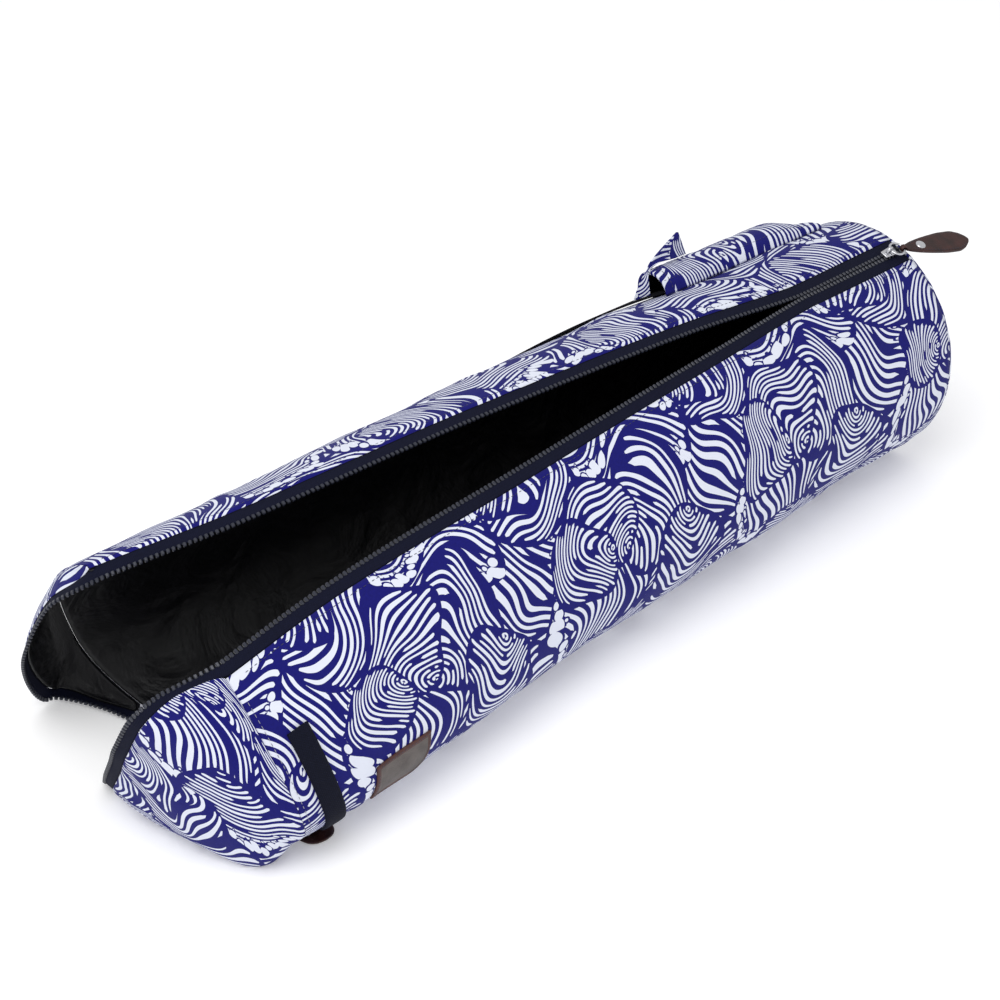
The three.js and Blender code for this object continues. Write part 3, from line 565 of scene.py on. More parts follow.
def makeLeather(name, dark, light, rough=0.5):
    material, tree, shader = newMaterial(name, **{"Roughness": rough, "Specular IOR Level": 0.45})
    point = objectPoint(tree)
    cells = addNode(tree, "ShaderNodeTexVoronoi", {"Vector": point, "Scale": 0.9, "Randomness": 1.0})
    cloud = addNoise(tree, point, 0.12, 5.0)
    ramp = addNode(tree, "ShaderNodeMapRange", {"Value": cloud, "From Min": 0.3, "From Max": 0.75})
    colour = mixColour(tree, ramp.outputs[0], linearColour(*dark), linearColour(*light))
    joinSocket(tree, colour, shader.inputs["Base Color"])
    addBump(tree, shader, Wire(tree, cells.outputs[0]) + cloud * 0.8, 0.35, 0.0004)
    return material


def makeCloudy(name, scale, detail, low, high, **sockets):
    # two close tones in slow marks
    material, tree, shader = newMaterial(name, **sockets)
    marks = addNoise(tree, objectPoint(tree), scale, detail)
    joinSocket(tree, mixColour(tree, marks, low, high), shader.inputs["Base Color"])
    return material, tree, shader, marks


def makeMetal():
    material, tree, shader, marks = makeCloudy(
        "brightMetal", 1.4, 5.0, linearColour(180, 182, 188), linearColour(225, 225, 228),
        Metallic=1.0)
    joinSocket(tree, marks * 0.25 + 0.12, shader.inputs["Roughness"])
    return material


def makeMoulded():
    material, tree, shader, marks = makeCloudy(
        "mouldedTeeth", 0.8, 3.0, linearColour(18, 20, 30), linearColour(42, 46, 62), Roughness=0.35)
    addBump(tree, shader, marks, 0.2, 0.0002)
    return material


def makeThread(name, colour):
    low = tuple(c * 0.7 for c in colour[:3]) + (1.0,)
    return makeCloudy(name, 2.0, 2.0, low, colour, **{"Roughness": 0.6, "Sheen Weight": 0.2})[0]


finishes = {
    "canvas": makeCanvas(),
    "lining": makeLining(),
    "tape": makeWoven("navyTape", linearColour(13, 16, 36), 1.6),
    "webbing": makeWoven("navyWebbing", linearColour(11, 14, 30), 2.2, 0.5),
    "blackWebbing": makeWoven("blackWebbing", linearColour(12, 12, 18), 2.2, 0.5),
    "leather": makeLeather("brownLeather", (34, 13, 11), (60, 27, 23)),
    "field": makeLeather("labelLeather", (74, 68, 66), (98, 91, 88), 0.6),
    "border": makeLeather("labelBorder", (56, 28, 24), (82, 46, 40), 0.55),
    "metal": makeMetal(),
    "teeth": makeMoulded(),
    "thread": makeThread("navyThread", linearColour(30, 32, 60)),
    "paleThread": makeThread("paleThread", linearColour(150, 150, 165)),
}
print("materials ready")

# Body: soft folds in the canvas, as ridges by place along the bag and share of the way round
bodyFolds = {
    "rows": 190, "columns": 150, "spread": 1.15, "thickness": 1.3, "rise": 0.4, "ripple": 0.7,
    "edgeFade": 14, "endFade": 10, "hem": 0.5, "hemFrom": 6.0, "hemTo": 8.0, "restingBelow": 14,
    "ridges": [
        # along mm, round share, turn degrees, half length, half width, height
        (60, 0.10, 60, 45, 7, 1.6), (95, 0.16, 35, 60, 9, 1.4), (150, 0.08, 75, 40, 8, 1.0),
        (210, 0.22, 20, 80, 12, 1.2), (330, 0.12, 65, 60, 10, 0.9), (430, 0.20, 40, 70, 12, 1.0),
        (520, 0.10, 70, 50, 9, 1.0), (600, 0.17, 50, 60, 10, 1.1), (655, 0.09, 80, 35, 7, 1.2),
        (120, 0.92, 110, 50, 9, 1.2), (330, 0.95, 100, 60, 9, 1.0), (470, 0.90, 95, 60, 12, 1.2),
        (75, 0.26, 95, 60, 8, 1.5), (690, 0.22, 85, 30, 6, 0.9), (690, 0.32, 85, 26, 6, 0.9),
    ],
}
liningCloth = {"rows": 100, "columns": 80, "depth": 1.9, "thickness": 0.8, "crease": 0.5}


def ridgeHeight(along, across):
    height = np.zeros(np.broadcast(along, across).shape)
    for place, around, turn, halfLength, halfWidth, rise in bodyFolds["ridges"]:
        dx, dy = along - place, across - around * bag["clothRound"]
        c, s = math.cos(math.radians(turn)), math.sin(math.radians(turn))
        a, b = dx * c + dy * s, -dx * s + dy * c
        height += rise * np.exp(-(a / halfLength) ** 2 - (b / halfWidth) ** 2)
    return height


def softRipple(along, across, size):
    # slow unevenness of filled cloth
    a, b = along / 1000, across / 1000
    wave = (np.sin(31 * a + 17 * b + 1.3) * np.sin(12 * a - 29 * b)
            + 0.6 * np.sin(63 * a - 22 * b + 2.1) * np.sin(47 * b + 19 * a)
            + 0.35 * np.sin(121 * a + 41 * b) * np.sin(83 * b - 37 * a + 0.7))
    return size * wave


def hemLift(inward):
    # a folded hem's height, by the distance from the cloth's edge
    folded = smoothStep(inward, 0, 1.2) - smoothStep(inward, bodyFolds["hemFrom"], bodyFolds["hemTo"])
    return bodyFolds["hem"] * folded


def bodyLift(place, across, shares):
    edge = np.minimum(across - bag["tape"], girth(place / bag["length"]) - bag["tape"] - across)
    ends = np.minimum(shares, 1 - shares) * 700
    fade = smoothStep(edge, 0, bodyFolds["edgeFade"]) * smoothStep(ends, 0, bodyFolds["endFade"])
    free = ridgeHeight(place, across) + softRipple(place, across, bodyFolds["ripple"])
    return (free + bodyFolds["rise"]) * fade + hemLift(edge)


def bodyGrid(rows, columns):
    along, around = shareGrid(rows + 1, columns + 1)
    along = along ** bodyFolds["spread"]
    grid = shellPoint(along, around, bag["tape"])
    start = seamPlace(around)
    place = start + (bag["length"] - start) * along
    across = around * (girth(place / bag["length"]) - 2 * bag["tape"]) + bag["tape"]
    return grid, gridNormals(grid, -1), place, across, along


def addBody():
    grid, normals, place, across, shares = bodyGrid(bodyFolds["rows"], bodyFolds["columns"])
    lift, height, low = bodyLift(place, across, shares), grid[..., 2], bodyFolds["restingBelow"]
    lift = np.where(height < low, np.clip(lift, -0.6, 0) * smoothStep(height, 2, low), lift)
    canvas = sheetPiece("canvasBody", grid, normals, lift, lift - bodyFolds["thickness"],
                        np.stack([place, across], -1), -1)
    finishPiece(canvas, "canvas", "body_canvas")
    lineBack(canvas, grid)
    grid, normals, place, across, shares = bodyGrid(liningCloth["rows"], liningCloth["columns"])
    crease = softRipple(place * 1.7, across * 1.4, liningCloth["crease"]) * smoothStep(shares, 0, 0.03)
    outer = -liningCloth["depth"] - np.abs(crease)
    lining = sheetPiece("liningBody", grid, normals, outer, outer - liningCloth["thickness"],
                        np.stack([place, across], -1), -1)
    finishPiece(lining, "lining", "body_lining")


halves = [
    {"side": "near", "table": nearPanel, "isFar": False, "flip": -1, "firstRun": 0.125 / 17},
    {"side": "far", "table": farPanel, "isFar": True, "flip": 1, "firstRun": 0.125 / 11},
]
# ripples by side, and where the print starts on the panels, along and round the bag
endPanels = {"stations": 110, "across": 60, "near": 0.9, "far": 0.5, "printX": -4, "printY": 41}


def addOpenEnd(half):
    side, isFar, flip = half["side"], half["isFar"], half["flip"]
    runs = np.linspace(half["firstRun"], bag["lastRun"], endPanels["stations"])
    half["runs"] = runs
    half["walk"] = walk = panelWalk(half["table"], isFar, runs)
    shares = np.linspace(0, 1, endPanels["across"] + 1)
    grid, cloth, inward = [], [], []
    for i, run in enumerate(runs):
        whole = walk[1][i, -1]
        distance = bag["tape"] + max(whole - bag["gap"] - bag["tape"], 0.3) * (1 - shares)
        grid.append(panelAt(walk, i, distance))
        across = panelRound(isFar, run) * bag["clothRound"] + endPanels["printY"]
        along = distance - whole + endPanels["printX"]
        cloth.append(np.stack([along, np.full_like(distance, across)], -1))
        inward.append(np.minimum(distance - bag["tape"], whole - distance))
    grid, cloth, inward = np.array(grid), np.array(cloth), np.array(inward)
    normals = gridNormals(grid, flip)
    height = grid[..., 2]
    fade = smoothStep(inward, 0, 12) * smoothStep(height, 1, 12)
    fade *= smoothStep(runs, 0.02, 0.12)[:, None]
    lift = softRipple(cloth[..., 0] * 1.6, cloth[..., 1] * 1.3, endPanels[side]) * fade
    lift = np.maximum(lift + hemLift(inward) * smoothStep(height, 1, 6), -0.8)
    canvas = sheetPiece(f"canvasEnd{side.title()}", grid, normals, lift, lift - bodyFolds["thickness"],
                        cloth, flip)
    finishPiece(canvas, "canvas", f"end_panel_{side}")
    lineBack(canvas, grid)
    depth = -liningCloth["depth"]
    lining = sheetPiece(f"liningEnd{side.title()}", grid[::2, ::2], normals[::2, ::2], depth,
                        depth - liningCloth["thickness"], cloth[::2, ::2], flip)
    finishPiece(lining, "lining", f"end_lining_{side}")


zipLook = {
    "rows": 400, "tapeStep": 2.0, "tapeColumns": 7, "tapeThickness": 1.0, "tapeDepth": 0.3,
    "tapeFrom": 0.15, "teethFrom": -0.9, "tapeOverlap": 0.4, "teethDepth": 0.7,
    "pitch": 3.8, "tooth": (2.5, 3.2, 2.4), "toothBevel": 0.55,
}


def zipLine(half, start):
    # points at two distances from the tooth line, from the closed end, along the lip and down
    # the panel's edge, evened out
    distances = np.array([start, bag["tape"] - zipLook["tapeOverlap"]])
    places = np.linspace(bag["length"] - 0.5, bag["seamAtLips"] + 1, zipLook["rows"])
    at = places / bag["length"]
    rows = []
    for distance in distances:
        reach = girth(at) - distance if half["isFar"] else np.full_like(at, distance)
        rows.append(toFrame(places, outlinePoint(at, reach)))
    down = [panelAt(half["walk"], i, distances) for i in range(6, len(half["runs"]))]
    rows = np.concatenate([np.stack(rows, 1), np.stack(down)])
    for _ in range(3):
        rows[1:-1] = (rows[:-2] + 2 * rows[1:-1] + rows[2:]) / 4
    return rows


def evenLine(rows, step):
    # the rows again, at an even step along the tooth line
    lengths = stepLengths(rows[:, 0])
    even = np.arange(step / 2, lengths[-1], step)
    flat = rows.reshape(len(rows), -1)
    made = np.stack([np.interp(even, lengths, flat[:, k]) for k in range(flat.shape[1])], 1)
    return made.reshape(len(even), *rows.shape[1:]), even


def makeToothForm():
    # one tooth, modelled once: a block with rounded edges
    bpy.ops.mesh.primitive_cube_add(size=1)
    bpy.context.object.scale = zipLook["tooth"]
    bpy.ops.object.transform_apply(scale=True)
    editPiece(lambda: bpy.ops.mesh.bevel(offset=zipLook["toothBevel"], segments=1, affect="EDGES"))
    return takeForm()


def addZip(half, tooth):
    side, flip = half["side"], half["flip"]
    rows, along = evenLine(zipLine(half, zipLook["tapeFrom"]), zipLook["tapeStep"])
    shares = np.linspace(0, 1, zipLook["tapeColumns"])
    grid = rows[:, :1] * (1 - shares[None, :, None]) + rows[:, 1:] * shares[None, :, None]
    cloth = np.stack(np.broadcast_arrays(along[:, None], shares[None, :] * bag["tape"]), -1)
    depth = -zipLook["tapeDepth"]
    tape = sheetPiece(f"zipTape{side.title()}", grid, gridNormals(grid, -flip), depth,
                      depth - zipLook["tapeThickness"], cloth, -flip)
    finishPiece(tape, "tape", f"zip_tape_{side}")
    rows, along = evenLine(zipLine(half, zipLook["teethFrom"]), zipLook["pitch"])
    tangent = unit(np.gradient(rows[:, 0], axis=0))
    outward = unit(rows[:, 0] - rows[:, 1])
    normal = unit(np.cross(tangent, outward)) * flip
    outward = unit(np.cross(normal, tangent)) * flip
    teeth = copiesPiece(f"zipTeeth{side.title()}", tooth, rows[:, 0] - normal * zipLook["teethDepth"],
                        np.stack([tangent, outward, normal], 1))
    turned = bmesh.new()
    turned.from_mesh(teeth.data)
    bmesh.ops.recalc_face_normals(turned, faces=turned.faces)
    turned.to_mesh(teeth.data)
    turned.free()
    finishPiece(teeth, "teeth", f"zip_teeth_{side}")


addBody()
for half in halves:
    addOpenEnd(half)
toothForm = makeToothForm()
for half in halves:
    addZip(half, toothForm)
print("body, end panels and zip ready")

closedEnd = {"out": 6.0, "rings": 26, "columns": 150, "pucker": 0.35, "puckers": 23,
             "printX": 330.0, "printY": 140.0}
domeCurve = {
    "step": [0, 0.12, 0.28, 0.45, 0.62, 1.0],
    "reach": [1, 0.988, 0.955, 0.86, 0.6, 0.0],
    "out": [0, 0.42, 0.75, 0.92, 0.98, 1.0],
}


def domeGrid(inset):
    # the closed end's panel from its rim to its middle
    steps = np.linspace(0, 1, closedEnd["rings"])
    reach = smoothColumn(domeCurve, "step", "reach", steps)
    outs = smoothColumn(domeCurve, "step", "out", steps) * closedEnd["out"]
    around = np.linspace(0, 1, closedEnd["columns"] + 1)
    rim = outlinePoint(1.0, around * girth(1.0))
    rim[-1] = rim[0]
    centre = np.array([0.0, sectionSize("belly", 1.0)])
    flat = centre + (rim - centre)[None] * (reach[:, None, None] - inset / bag["radius"])
    x = bag["length"] / 2 + bag["gap"] + outs - inset
    return np.concatenate([np.broadcast_to(x[:, None, None], flat.shape[:2] + (1,)), flat], 2)


def addClosedEnd(name, finish, node, inset, wall, pucker):
    outer, inner = domeGrid(inset), domeGrid(inset + wall)
    share, turn = shareGrid(closedEnd["rings"], closedEnd["columns"] + 1)
    wave = np.sin(2 * math.pi * turn * closedEnd["puckers"])
    wave = wave * np.sin(math.pi * np.clip(share / 0.5, 0, 1))
    outer[..., 0] += pucker * wave * smoothStep(outer[..., 2], 3, 15)
    grid = np.concatenate([outer, inner[::-1]])[:, :-1]
    rows, count = grid.shape[:2]
    middle = closedEnd["rings"] - 1
    vertices, index, faces = [], np.zeros((rows, count), int), []
    for i in range(rows):
        single = i in (middle, middle + 1)    # each wall closes on one vertex at its middle
        index[i] = len(vertices) + (0 if single else np.arange(count))
        vertices.extend([grid[i].mean(0)] if single else grid[i])
    for i in range(rows):
        following = (i + 1) % rows
        for j in range(count if i != middle else 0):
            k = (j + 1) % count
            face = [index[i, j], index[i, k], index[following, k], index[following, j]]
            face = [int(v) for n, v in enumerate(face) if v not in face[:n]]
            if len(face) > 2:
                faces.append(face)
    vertices = np.array(vertices)
    cloth = vertices[:, 1:] + np.array([closedEnd["printX"], closedEnd["printY"]])
    finishPiece(meshPiece(name, vertices, faces, cloth), finish, node)


addClosedEnd("canvasEndClosed", "canvas", "end_panel_closed", 0.0, bodyFolds["thickness"],
             closedEnd["pucker"])
addClosedEnd("liningEndClosed", "lining", "end_lining_closed", liningCloth["depth"],
             liningCloth["thickness"], 0.0)

# Webbing on the near side, carried round the underside to the far side
endWebbing = {"top": 54, "end": 0.80, "thickness": 1.5, "rows": 150, "columns": 9, "length": 430,
              "base": 0.3, "inner": 0.15, "edge": 0.25, "above": 1.5}


def ribbonCloth(rows, columns, length, width):
    return np.stack(np.meshgrid(np.linspace(0, length, rows), np.linspace(0, width, columns),
                                indexing="ij"), -1)


def addEndWebbing():
    width, rows, columns = bag["webbingWidth"], endWebbing["rows"], endWebbing["columns"]
    top = endWebbing["top"] / float(girth(bag["seamAtFoot"] / bag["length"]))
    rounds = np.linspace(top, endWebbing["end"], rows)
    across = np.linspace(0, 1, columns)
    place = (bag["webbingFrom"] + width * across) / bag["length"]
    grid = shellPoint(place[None, :], rounds[:, None], bag["tape"])
    edge = endWebbing["edge"] * (1 - np.abs(across * 2 - 1) ** 6)[None, :]
    outer = (endWebbing["base"] + endWebbing["thickness"] * 0.75 + edge
             + endWebbing["above"] * smoothStep(grid[..., 2], 3, 20))
    strip = sheetPiece("webbingEnd", grid, gridNormals(grid, 1), outer, endWebbing["inner"],
                       ribbonCloth(rows, columns, endWebbing["length"], width), 1)
    finishPiece(strip, "webbing", "end_webbing")


# Stitches: short threads laid along a line
seamStitches = {"fromTape": 4.2, "rows": 600, "ringRows": 700, "ringFrom": 0.03, "ringTo": 0.97,
                "ringHeight": 4, "rise": 0.5}


def makeStitchForm():
    bpy.ops.mesh.primitive_uv_sphere_add(segments=6, ring_count=4, radius=0.5)
    vertices, faces = takeForm()
    return vertices[:, [2, 0, 1]], faces


def addStitches(name, line, normals, finish, length=2.6, pitch=3.8, width=0.55, height=0.35,
                slot="printed_canvas"):
    lengths = stepLengths(line)
    even = np.arange(pitch, lengths[-1] - pitch, pitch)
    points, up = (np.stack([np.interp(even, lengths, values[:, k]) for k in range(3)], 1)
                  for values in (line, normals))
    tangent = unit(np.gradient(points, axis=0))
    side = unit(np.cross(unit(up), tangent))
    up = np.cross(tangent, side)
    axes = np.stack([tangent * length, side * width, up * height], 1)
    piece = copiesPiece(name, stitchForm, points + up * 0.05, axes, smooth=True)
    finishPiece(piece, finish, slot=slot)


stitchForm = makeStitchForm()
addEndWebbing()


def bodySurface(place, distance):
    # a point of the canvas face and its normal, by place along the bag and distance round it
    place, distance = np.broadcast_arrays(np.asarray(place, float), np.asarray(distance, float))

    def spot(here, reach):
        return toFrame(here, outlinePoint(here / bag["length"], reach))
    ahead = spot(place + 1, distance) - spot(place - 1, distance)
    sideways = spot(place, distance + 1) - spot(place, distance - 1)
    normal = unit(np.cross(sideways, ahead))
    shares = np.clip((place - seamPlace(distance / bag["clothRound"])) / 650, 0, 1)
    return spot(place, distance) + normal * bodyLift(place, distance, shares)[..., None], normal


def addSeams():
    # topstitch beside the zip, on both sides
    places = np.linspace(bag["length"] - 4, 12, seamStitches["rows"])
    distance = bag["tape"] + seamStitches["fromTape"]
    for side, reach in (("Near", distance), ("Far", girth(places / bag["length"]) - distance)):
        addStitches(f"stitchesLip{side}", *bodySurface(places, reach), "thread")
    # the seam round the open end
    rounds = np.linspace(seamStitches["ringFrom"], seamStitches["ringTo"], seamStitches["ringRows"])
    along = np.array([0.006, 0.002, 0.012])[:, None]
    line, back, ahead = shellPoint(along, rounds[None, :], bag["tape"])
    normal = unit(np.cross(np.gradient(line, axis=0), ahead - back))
    keep = (line[:, 2] > seamStitches["ringHeight"]) & (rounds < 0.5)
    addStitches("stitchesSeam", line[keep] + normal[keep] * seamStitches["rise"], normal[keep],
                "paleThread", length=2.8, pitch=4.2)


addSeams()

leatherLabel = {
    "fromEnd": 83, "down": 121, "width": 47, "height": 30, "thickness": 1.5, "corner": 21,
    "border": 3.2, "groove": 0.35, "base": 0.3, "stitchInset": 1.7, "rows": 60, "columns": 44,
}


def labelReach(down):
    # how far the patch reaches along the bag at a distance below its top edge, in millimetres
    corner = leatherLabel["corner"]
    into = np.clip((down - leatherLabel["height"] + corner) / corner, 0, 1)
    return leatherLabel["width"] - corner * 0.9 * (1 - np.sqrt(1 - into ** 2 * 0.96))


def addLabel():
    left, top = leatherLabel["fromEnd"], leatherLabel["down"]
    rim, base, height = leatherLabel["border"], leatherLabel["base"], leatherLabel["height"]
    u, v = shareGrid(leatherLabel["rows"], leatherLabel["columns"])
    down, u = np.broadcast_arrays(height * v, u)
    along = labelReach(down) * u
    points, normals = bodySurface(left + along, top + down)
    edge = np.minimum.reduce([along, labelReach(down) - along, down, height - down])
    lift = base + leatherLabel["thickness"] * (0.55 + 0.45 * smoothStep(edge, 0, 0.8))
    lift -= leatherLabel["groove"] * smoothStep(edge, rim - 0.3, rim + 0.3)
    patch = sheetPiece("labelLeather", points, normals, lift, 0.1,
                       np.stack([left + along, top + down], -1), -1)
    finishPiece(patch, "field", "leather_label")
    patch.data.materials.append(finishes["border"])
    middle = (edge[1:, 1:] + edge[:-1, :-1]).ravel() / 2
    for index, face in enumerate(patch.data.polygons):
        if index >= len(middle) or middle[index] < rim:
            face.material_index = 1
    inset = leatherLabel["stitchInset"]
    low = height - inset
    side = np.linspace(inset, low, 60)
    right = np.stack([labelReach(side + inset * 0.7) - inset, side], 1)
    ring = [(inset, inset), (leatherLabel["width"] - inset, inset), *right, (inset, low),
            (inset, inset)]
    line = np.concatenate([np.linspace(a, b, 12)[:-1] for a, b in zip(ring[:-1], ring[1:])])
    points, normals = bodySurface(left + line[:, 0], top + line[:, 1])
    line = points + normals * (base + leatherLabel["thickness"])
    addStitches("stitchesLabel", line, normals, "thread", length=2.0, pitch=2.9, slot="label_leather")


addLabel()
print("ends, webbing and label ready")

# Strap along the far side, puffed between its edges, with a mouth at its left end
strap = {
    "from": 0.722, "to": 0.968, "angle": 37, "width": 60, "thickness": 2.2, "puff": 17,
    "flatFrom": 0.78, "endPuff": 0.3, "mouthWidth": 27, "mouthPuff": 18, "mouthTo": 0.3,
    "base": 0.35, "crease": 0.5, "hem": 0.35, "hemWidth": 8, "edge": 0.3, "edgeWidth": 4,
    "rows": 110, "columns": 60, "printX": 60, "printY": 260,
}
# Its webbing, from the open end up into the mouth
strapWebbing = {"angle": 76, "endAngle": 25.5, "curve": 3, "width": 16, "thickness": 1.5, "tuck": 8,
                "rest": 1.8, "over": 2.1, "stations": 18, "length": 500, "rows": 160, "columns": 7}
# Its leaf, which stands in front of the mouth and leans over the band
strapFold = {"from": 0.7128, "angle": 31, "height": 38, "belly": 0.8, "length": 75, "width": 20,
             "rows": 70, "columns": 14, "printX": 20, "printY": 430}
foldEdges = {
    "rise": [0.0, 0.2, 0.4, 0.6, 0.8, 1.0],
    "leftX": [-0.19, -0.09, 0.05, 0.36, 0.88, 1.34],
    "leftY": [0.05, 0.05, 0.02, 0.08, 0.21, 0.32],
    "leftZ": [0.06, 0.31, 0.58, 0.76, 0.88, 0.97],
    "rightX": [0.08, 0.07, 0.10, 0.46, 1.08, 1.46],
    "rightY": [-0.16, -0.12, -0.04, 0.04, 0.13, 0.20],
    "rightZ": [0.18, 0.39, 0.66, 0.67, 0.55, 0.49],
}
perDegree = math.pi * bag["radius"] / 180


def strapSurface(at, angle):
    at, angle = np.broadcast_arrays(at, angle)
    return toFrame(at * bag["length"], sectionPoint(at, np.radians(angle)))


def addStrap():
    along, side = shareGrid(strap["rows"], strap["columns"])
    opened = smoothStep(along, 0, strap["mouthTo"])
    width = strap["mouthWidth"] + (strap["width"] - strap["mouthWidth"]) * opened
    grid = strapSurface(strap["from"] + (strap["to"] - strap["from"]) * along,
                        strap["angle"] + (side * width - strap["width"] / 2) / perDegree)
    normals = gridNormals(grid, 1)
    taper = 1 - (1 - strap["endPuff"]) * smoothStep(along, strap["flatFrom"], 1)
    puff = strap["mouthPuff"] + (strap["puff"] - strap["mouthPuff"]) * opened
    puff = puff * taper * np.sqrt(np.maximum(1 - (2 * side - 1) ** 2, 0))
    length = (strap["to"] - strap["from"]) * bag["length"]
    cloth = np.stack(np.broadcast_arrays(along * length + strap["printX"],
                                         side * strap["width"] + strap["printY"]), -1)
    crease = softRipple(cloth[..., 0] * 2, cloth[..., 1] * 2, strap["crease"])
    crease *= np.sin(math.pi * side) ** 0.5
    low = strap["base"] + puff + crease * smoothStep(along, 0, 0.06)
    hem = strap["hem"] * (1 - smoothStep(along * length, strap["hemWidth"], strap["hemWidth"] + 1))
    fromEdge = np.minimum(side, 1 - side) * strap["width"]
    edge = strap["edge"] * (1 - smoothStep(fromEdge, strap["edgeWidth"], strap["edgeWidth"] + 1.5))
    high = low + strap["thickness"] + hem
    band = sheetPiece("strapBand", grid, normals, high + edge, low, cloth, 1)
    finishPiece(band, "canvas", "strap_band")
    lineBack(band, grid, edges=False)
    addStitches("stitchesStrapHem", grid[5] + normals[5] * (high + 0.1)[5][:, None], normals[5],
                "thread", pitch=3.4)
    for name, j in (("Low", strap["columns"] - 5), ("High", 4)):
        line = grid[:, j] + normals[:, j] * (high + edge)[:, j][:, None]
        addStitches(f"stitchesStrap{name}", line, normals[:, j], "thread")


def addStrapWebbing():
    rows, columns, width = (strapWebbing[key] for key in ("rows", "columns", "width"))
    along, side = shareGrid(rows, columns)
    start = float(seamPlace(endWebbing["end"])) + bag["webbingFrom"]
    end = strap["from"] * bag["length"] + strapWebbing["tuck"]
    bend = (strapWebbing["endAngle"] - strapWebbing["angle"]) * along ** strapWebbing["curve"]
    grid = strapSurface((start + (end - start) * along) / bag["length"],
                        strapWebbing["angle"] + bend + (side - 0.5) * width / perDegree)
    over = 1 - smoothStep(along * strapWebbing["stations"], 1, 2)
    rest = strapWebbing["rest"] + strapWebbing["over"] * over
    cloth = ribbonCloth(rows, columns, strapWebbing["length"], width)
    strip = sheetPiece("webbingStrap", grid, gridNormals(grid, 1), rest + strapWebbing["thickness"],
                       rest, cloth, 1)
    finishPiece(strip, "blackWebbing", "strap_webbing")


def addStrapFold():
    foot = strapSurface(strapFold["from"], strapFold["angle"])
    along, side = shareGrid(strapFold["rows"], strapFold["columns"])

    def between(axis):
        left, right = (smoothColumn(foldEdges, "rise", edge + axis, along)
                       for edge in ("left", "right"))
        return (left + (right - left) * side) * strapFold["height"]
    grid = foot + np.stack([between(axis) for axis in "XYZ"], -1)
    cloth = np.stack(np.broadcast_arrays(along * strapFold["length"] + strapFold["printX"],
                                         side * strapFold["width"] + strapFold["printY"]), -1)
    belly = strapFold["belly"] * np.sin(math.pi * side) * np.sin(math.pi * along)
    fold = sheetPiece("strapFold", grid, gridNormals(grid, 1), strap["thickness"] + belly, belly,
                      cloth, 1)
    finishPiece(fold, "canvas", "strap_fold")


addStrap()
addStrapWebbing()
addStrapFold()
print("strap ready")

# Slider, its bridge, the ring and the leather pull, in the zip's own turned place
hardware = {
    "fromEnd": 17, "length": 13, "width": 9, "thickness": 2.4, "base": 1.2, "narrow": 0.72,
    "bevel": 0.7, "bridgeLength": 8, "bridgeHeight": 5, "bridgeWire": 1.3, "ringRadius": 6,
    "ringWire": 0.9, "swing": -17, "pullLength": 60, "pullThickness": 2.4, "eye": 2.8,
    "rivetAt": 16, "rivet": 4.0,
}
pullOutline = {"at": [0, 0.08, 0.25, 0.45, 0.62, 0.76, 0.88, 0.95, 0.985, 1.0],
               "half": [2.6, 4.6, 7.2, 9.2, 10.3, 10.3, 7.9, 4.7, 2.2, 0.3]}
pocketPull = {"at": [0, 0.02, 0.08, 0.2, 0.4, 0.7, 1.0],
              "half": [1.0, 5.0, 8.6, 11.4, 12.8, 11.5, 7.8],
              "length": 30, "thickness": 1.4, "fromEnd": 56, "side": -105, "height": 0.95}


def turnMatrix(degrees, first, second):
    # a turn from one axis towards another
    angle, turn = math.radians(degrees), np.eye(3)
    turn[first, first] = turn[second, second] = math.cos(angle)
    turn[first, second], turn[second, first] = -math.sin(angle), math.sin(angle)
    return turn


def zipPlace():
    place = bag["length"] - hardware["fromEnd"]
    at = place / bag["length"]
    middle = (outlinePoint(at, 0.0) + outlinePoint(at, float(girth(at)))) / 2
    return toFrame(place, middle), turnMatrix(bag["zipAngle"], 1, 2)


zipOrigin, zipTurn = zipPlace()
swingTurn = zipTurn @ turnMatrix(hardware["swing"], 0, 1)
swingOrigin = zipOrigin + zipTurn @ np.array([
    hardware["bridgeLength"] / 2 - hardware["bridgeWire"] - hardware["ringWire"] - 0.9, 0,
    hardware["base"] + hardware["thickness"] + (hardware["bridgeHeight"] - hardware["bridgeWire"]) / 2])


def settle(piece, origin, turn, shift=0.0):
    # puts a piece modelled at the middle of the scene, in millimetres, where it belongs
    vertices = np.array([vertex.co for vertex in piece.data.vertices])
    vertices = (origin + (vertices + np.array([shift, 0, 0])) @ turn.T) * 0.001
    piece.data.vertices.foreach_set("co", vertices.astype(np.float32).ravel())
    piece.data.update()


def joinPieces(name, pieces):
    bpy.ops.object.select_all(action="DESELECT")
    for piece in pieces:
        piece.select_set(True)
    bpy.context.view_layer.objects.active = pieces[0]
    bpy.ops.object.join()
    joined = bpy.context.object
    joined.name = joined.data.name = name
    return joined


def addTorus(major, minor, around, across, **place):
    bpy.ops.mesh.primitive_torus_add(major_radius=major, minor_radius=minor, major_segments=around,
                                     minor_segments=across, **place)
    return bpy.context.object


def scalePiece(piece, scale):
    piece.scale = scale
    bpy.ops.object.transform_apply(location=True, rotation=True, scale=True)


def cutBelow(height):
    return editPiece(lambda: bpy.ops.mesh.bisect(
        plane_co=(0, 0, height), plane_no=(0, 0, 1), clear_inner=True, use_fill=True))


def smoothUnder(degrees):
    bpy.ops.object.shade_smooth_by_angle(angle=math.radians(degrees))


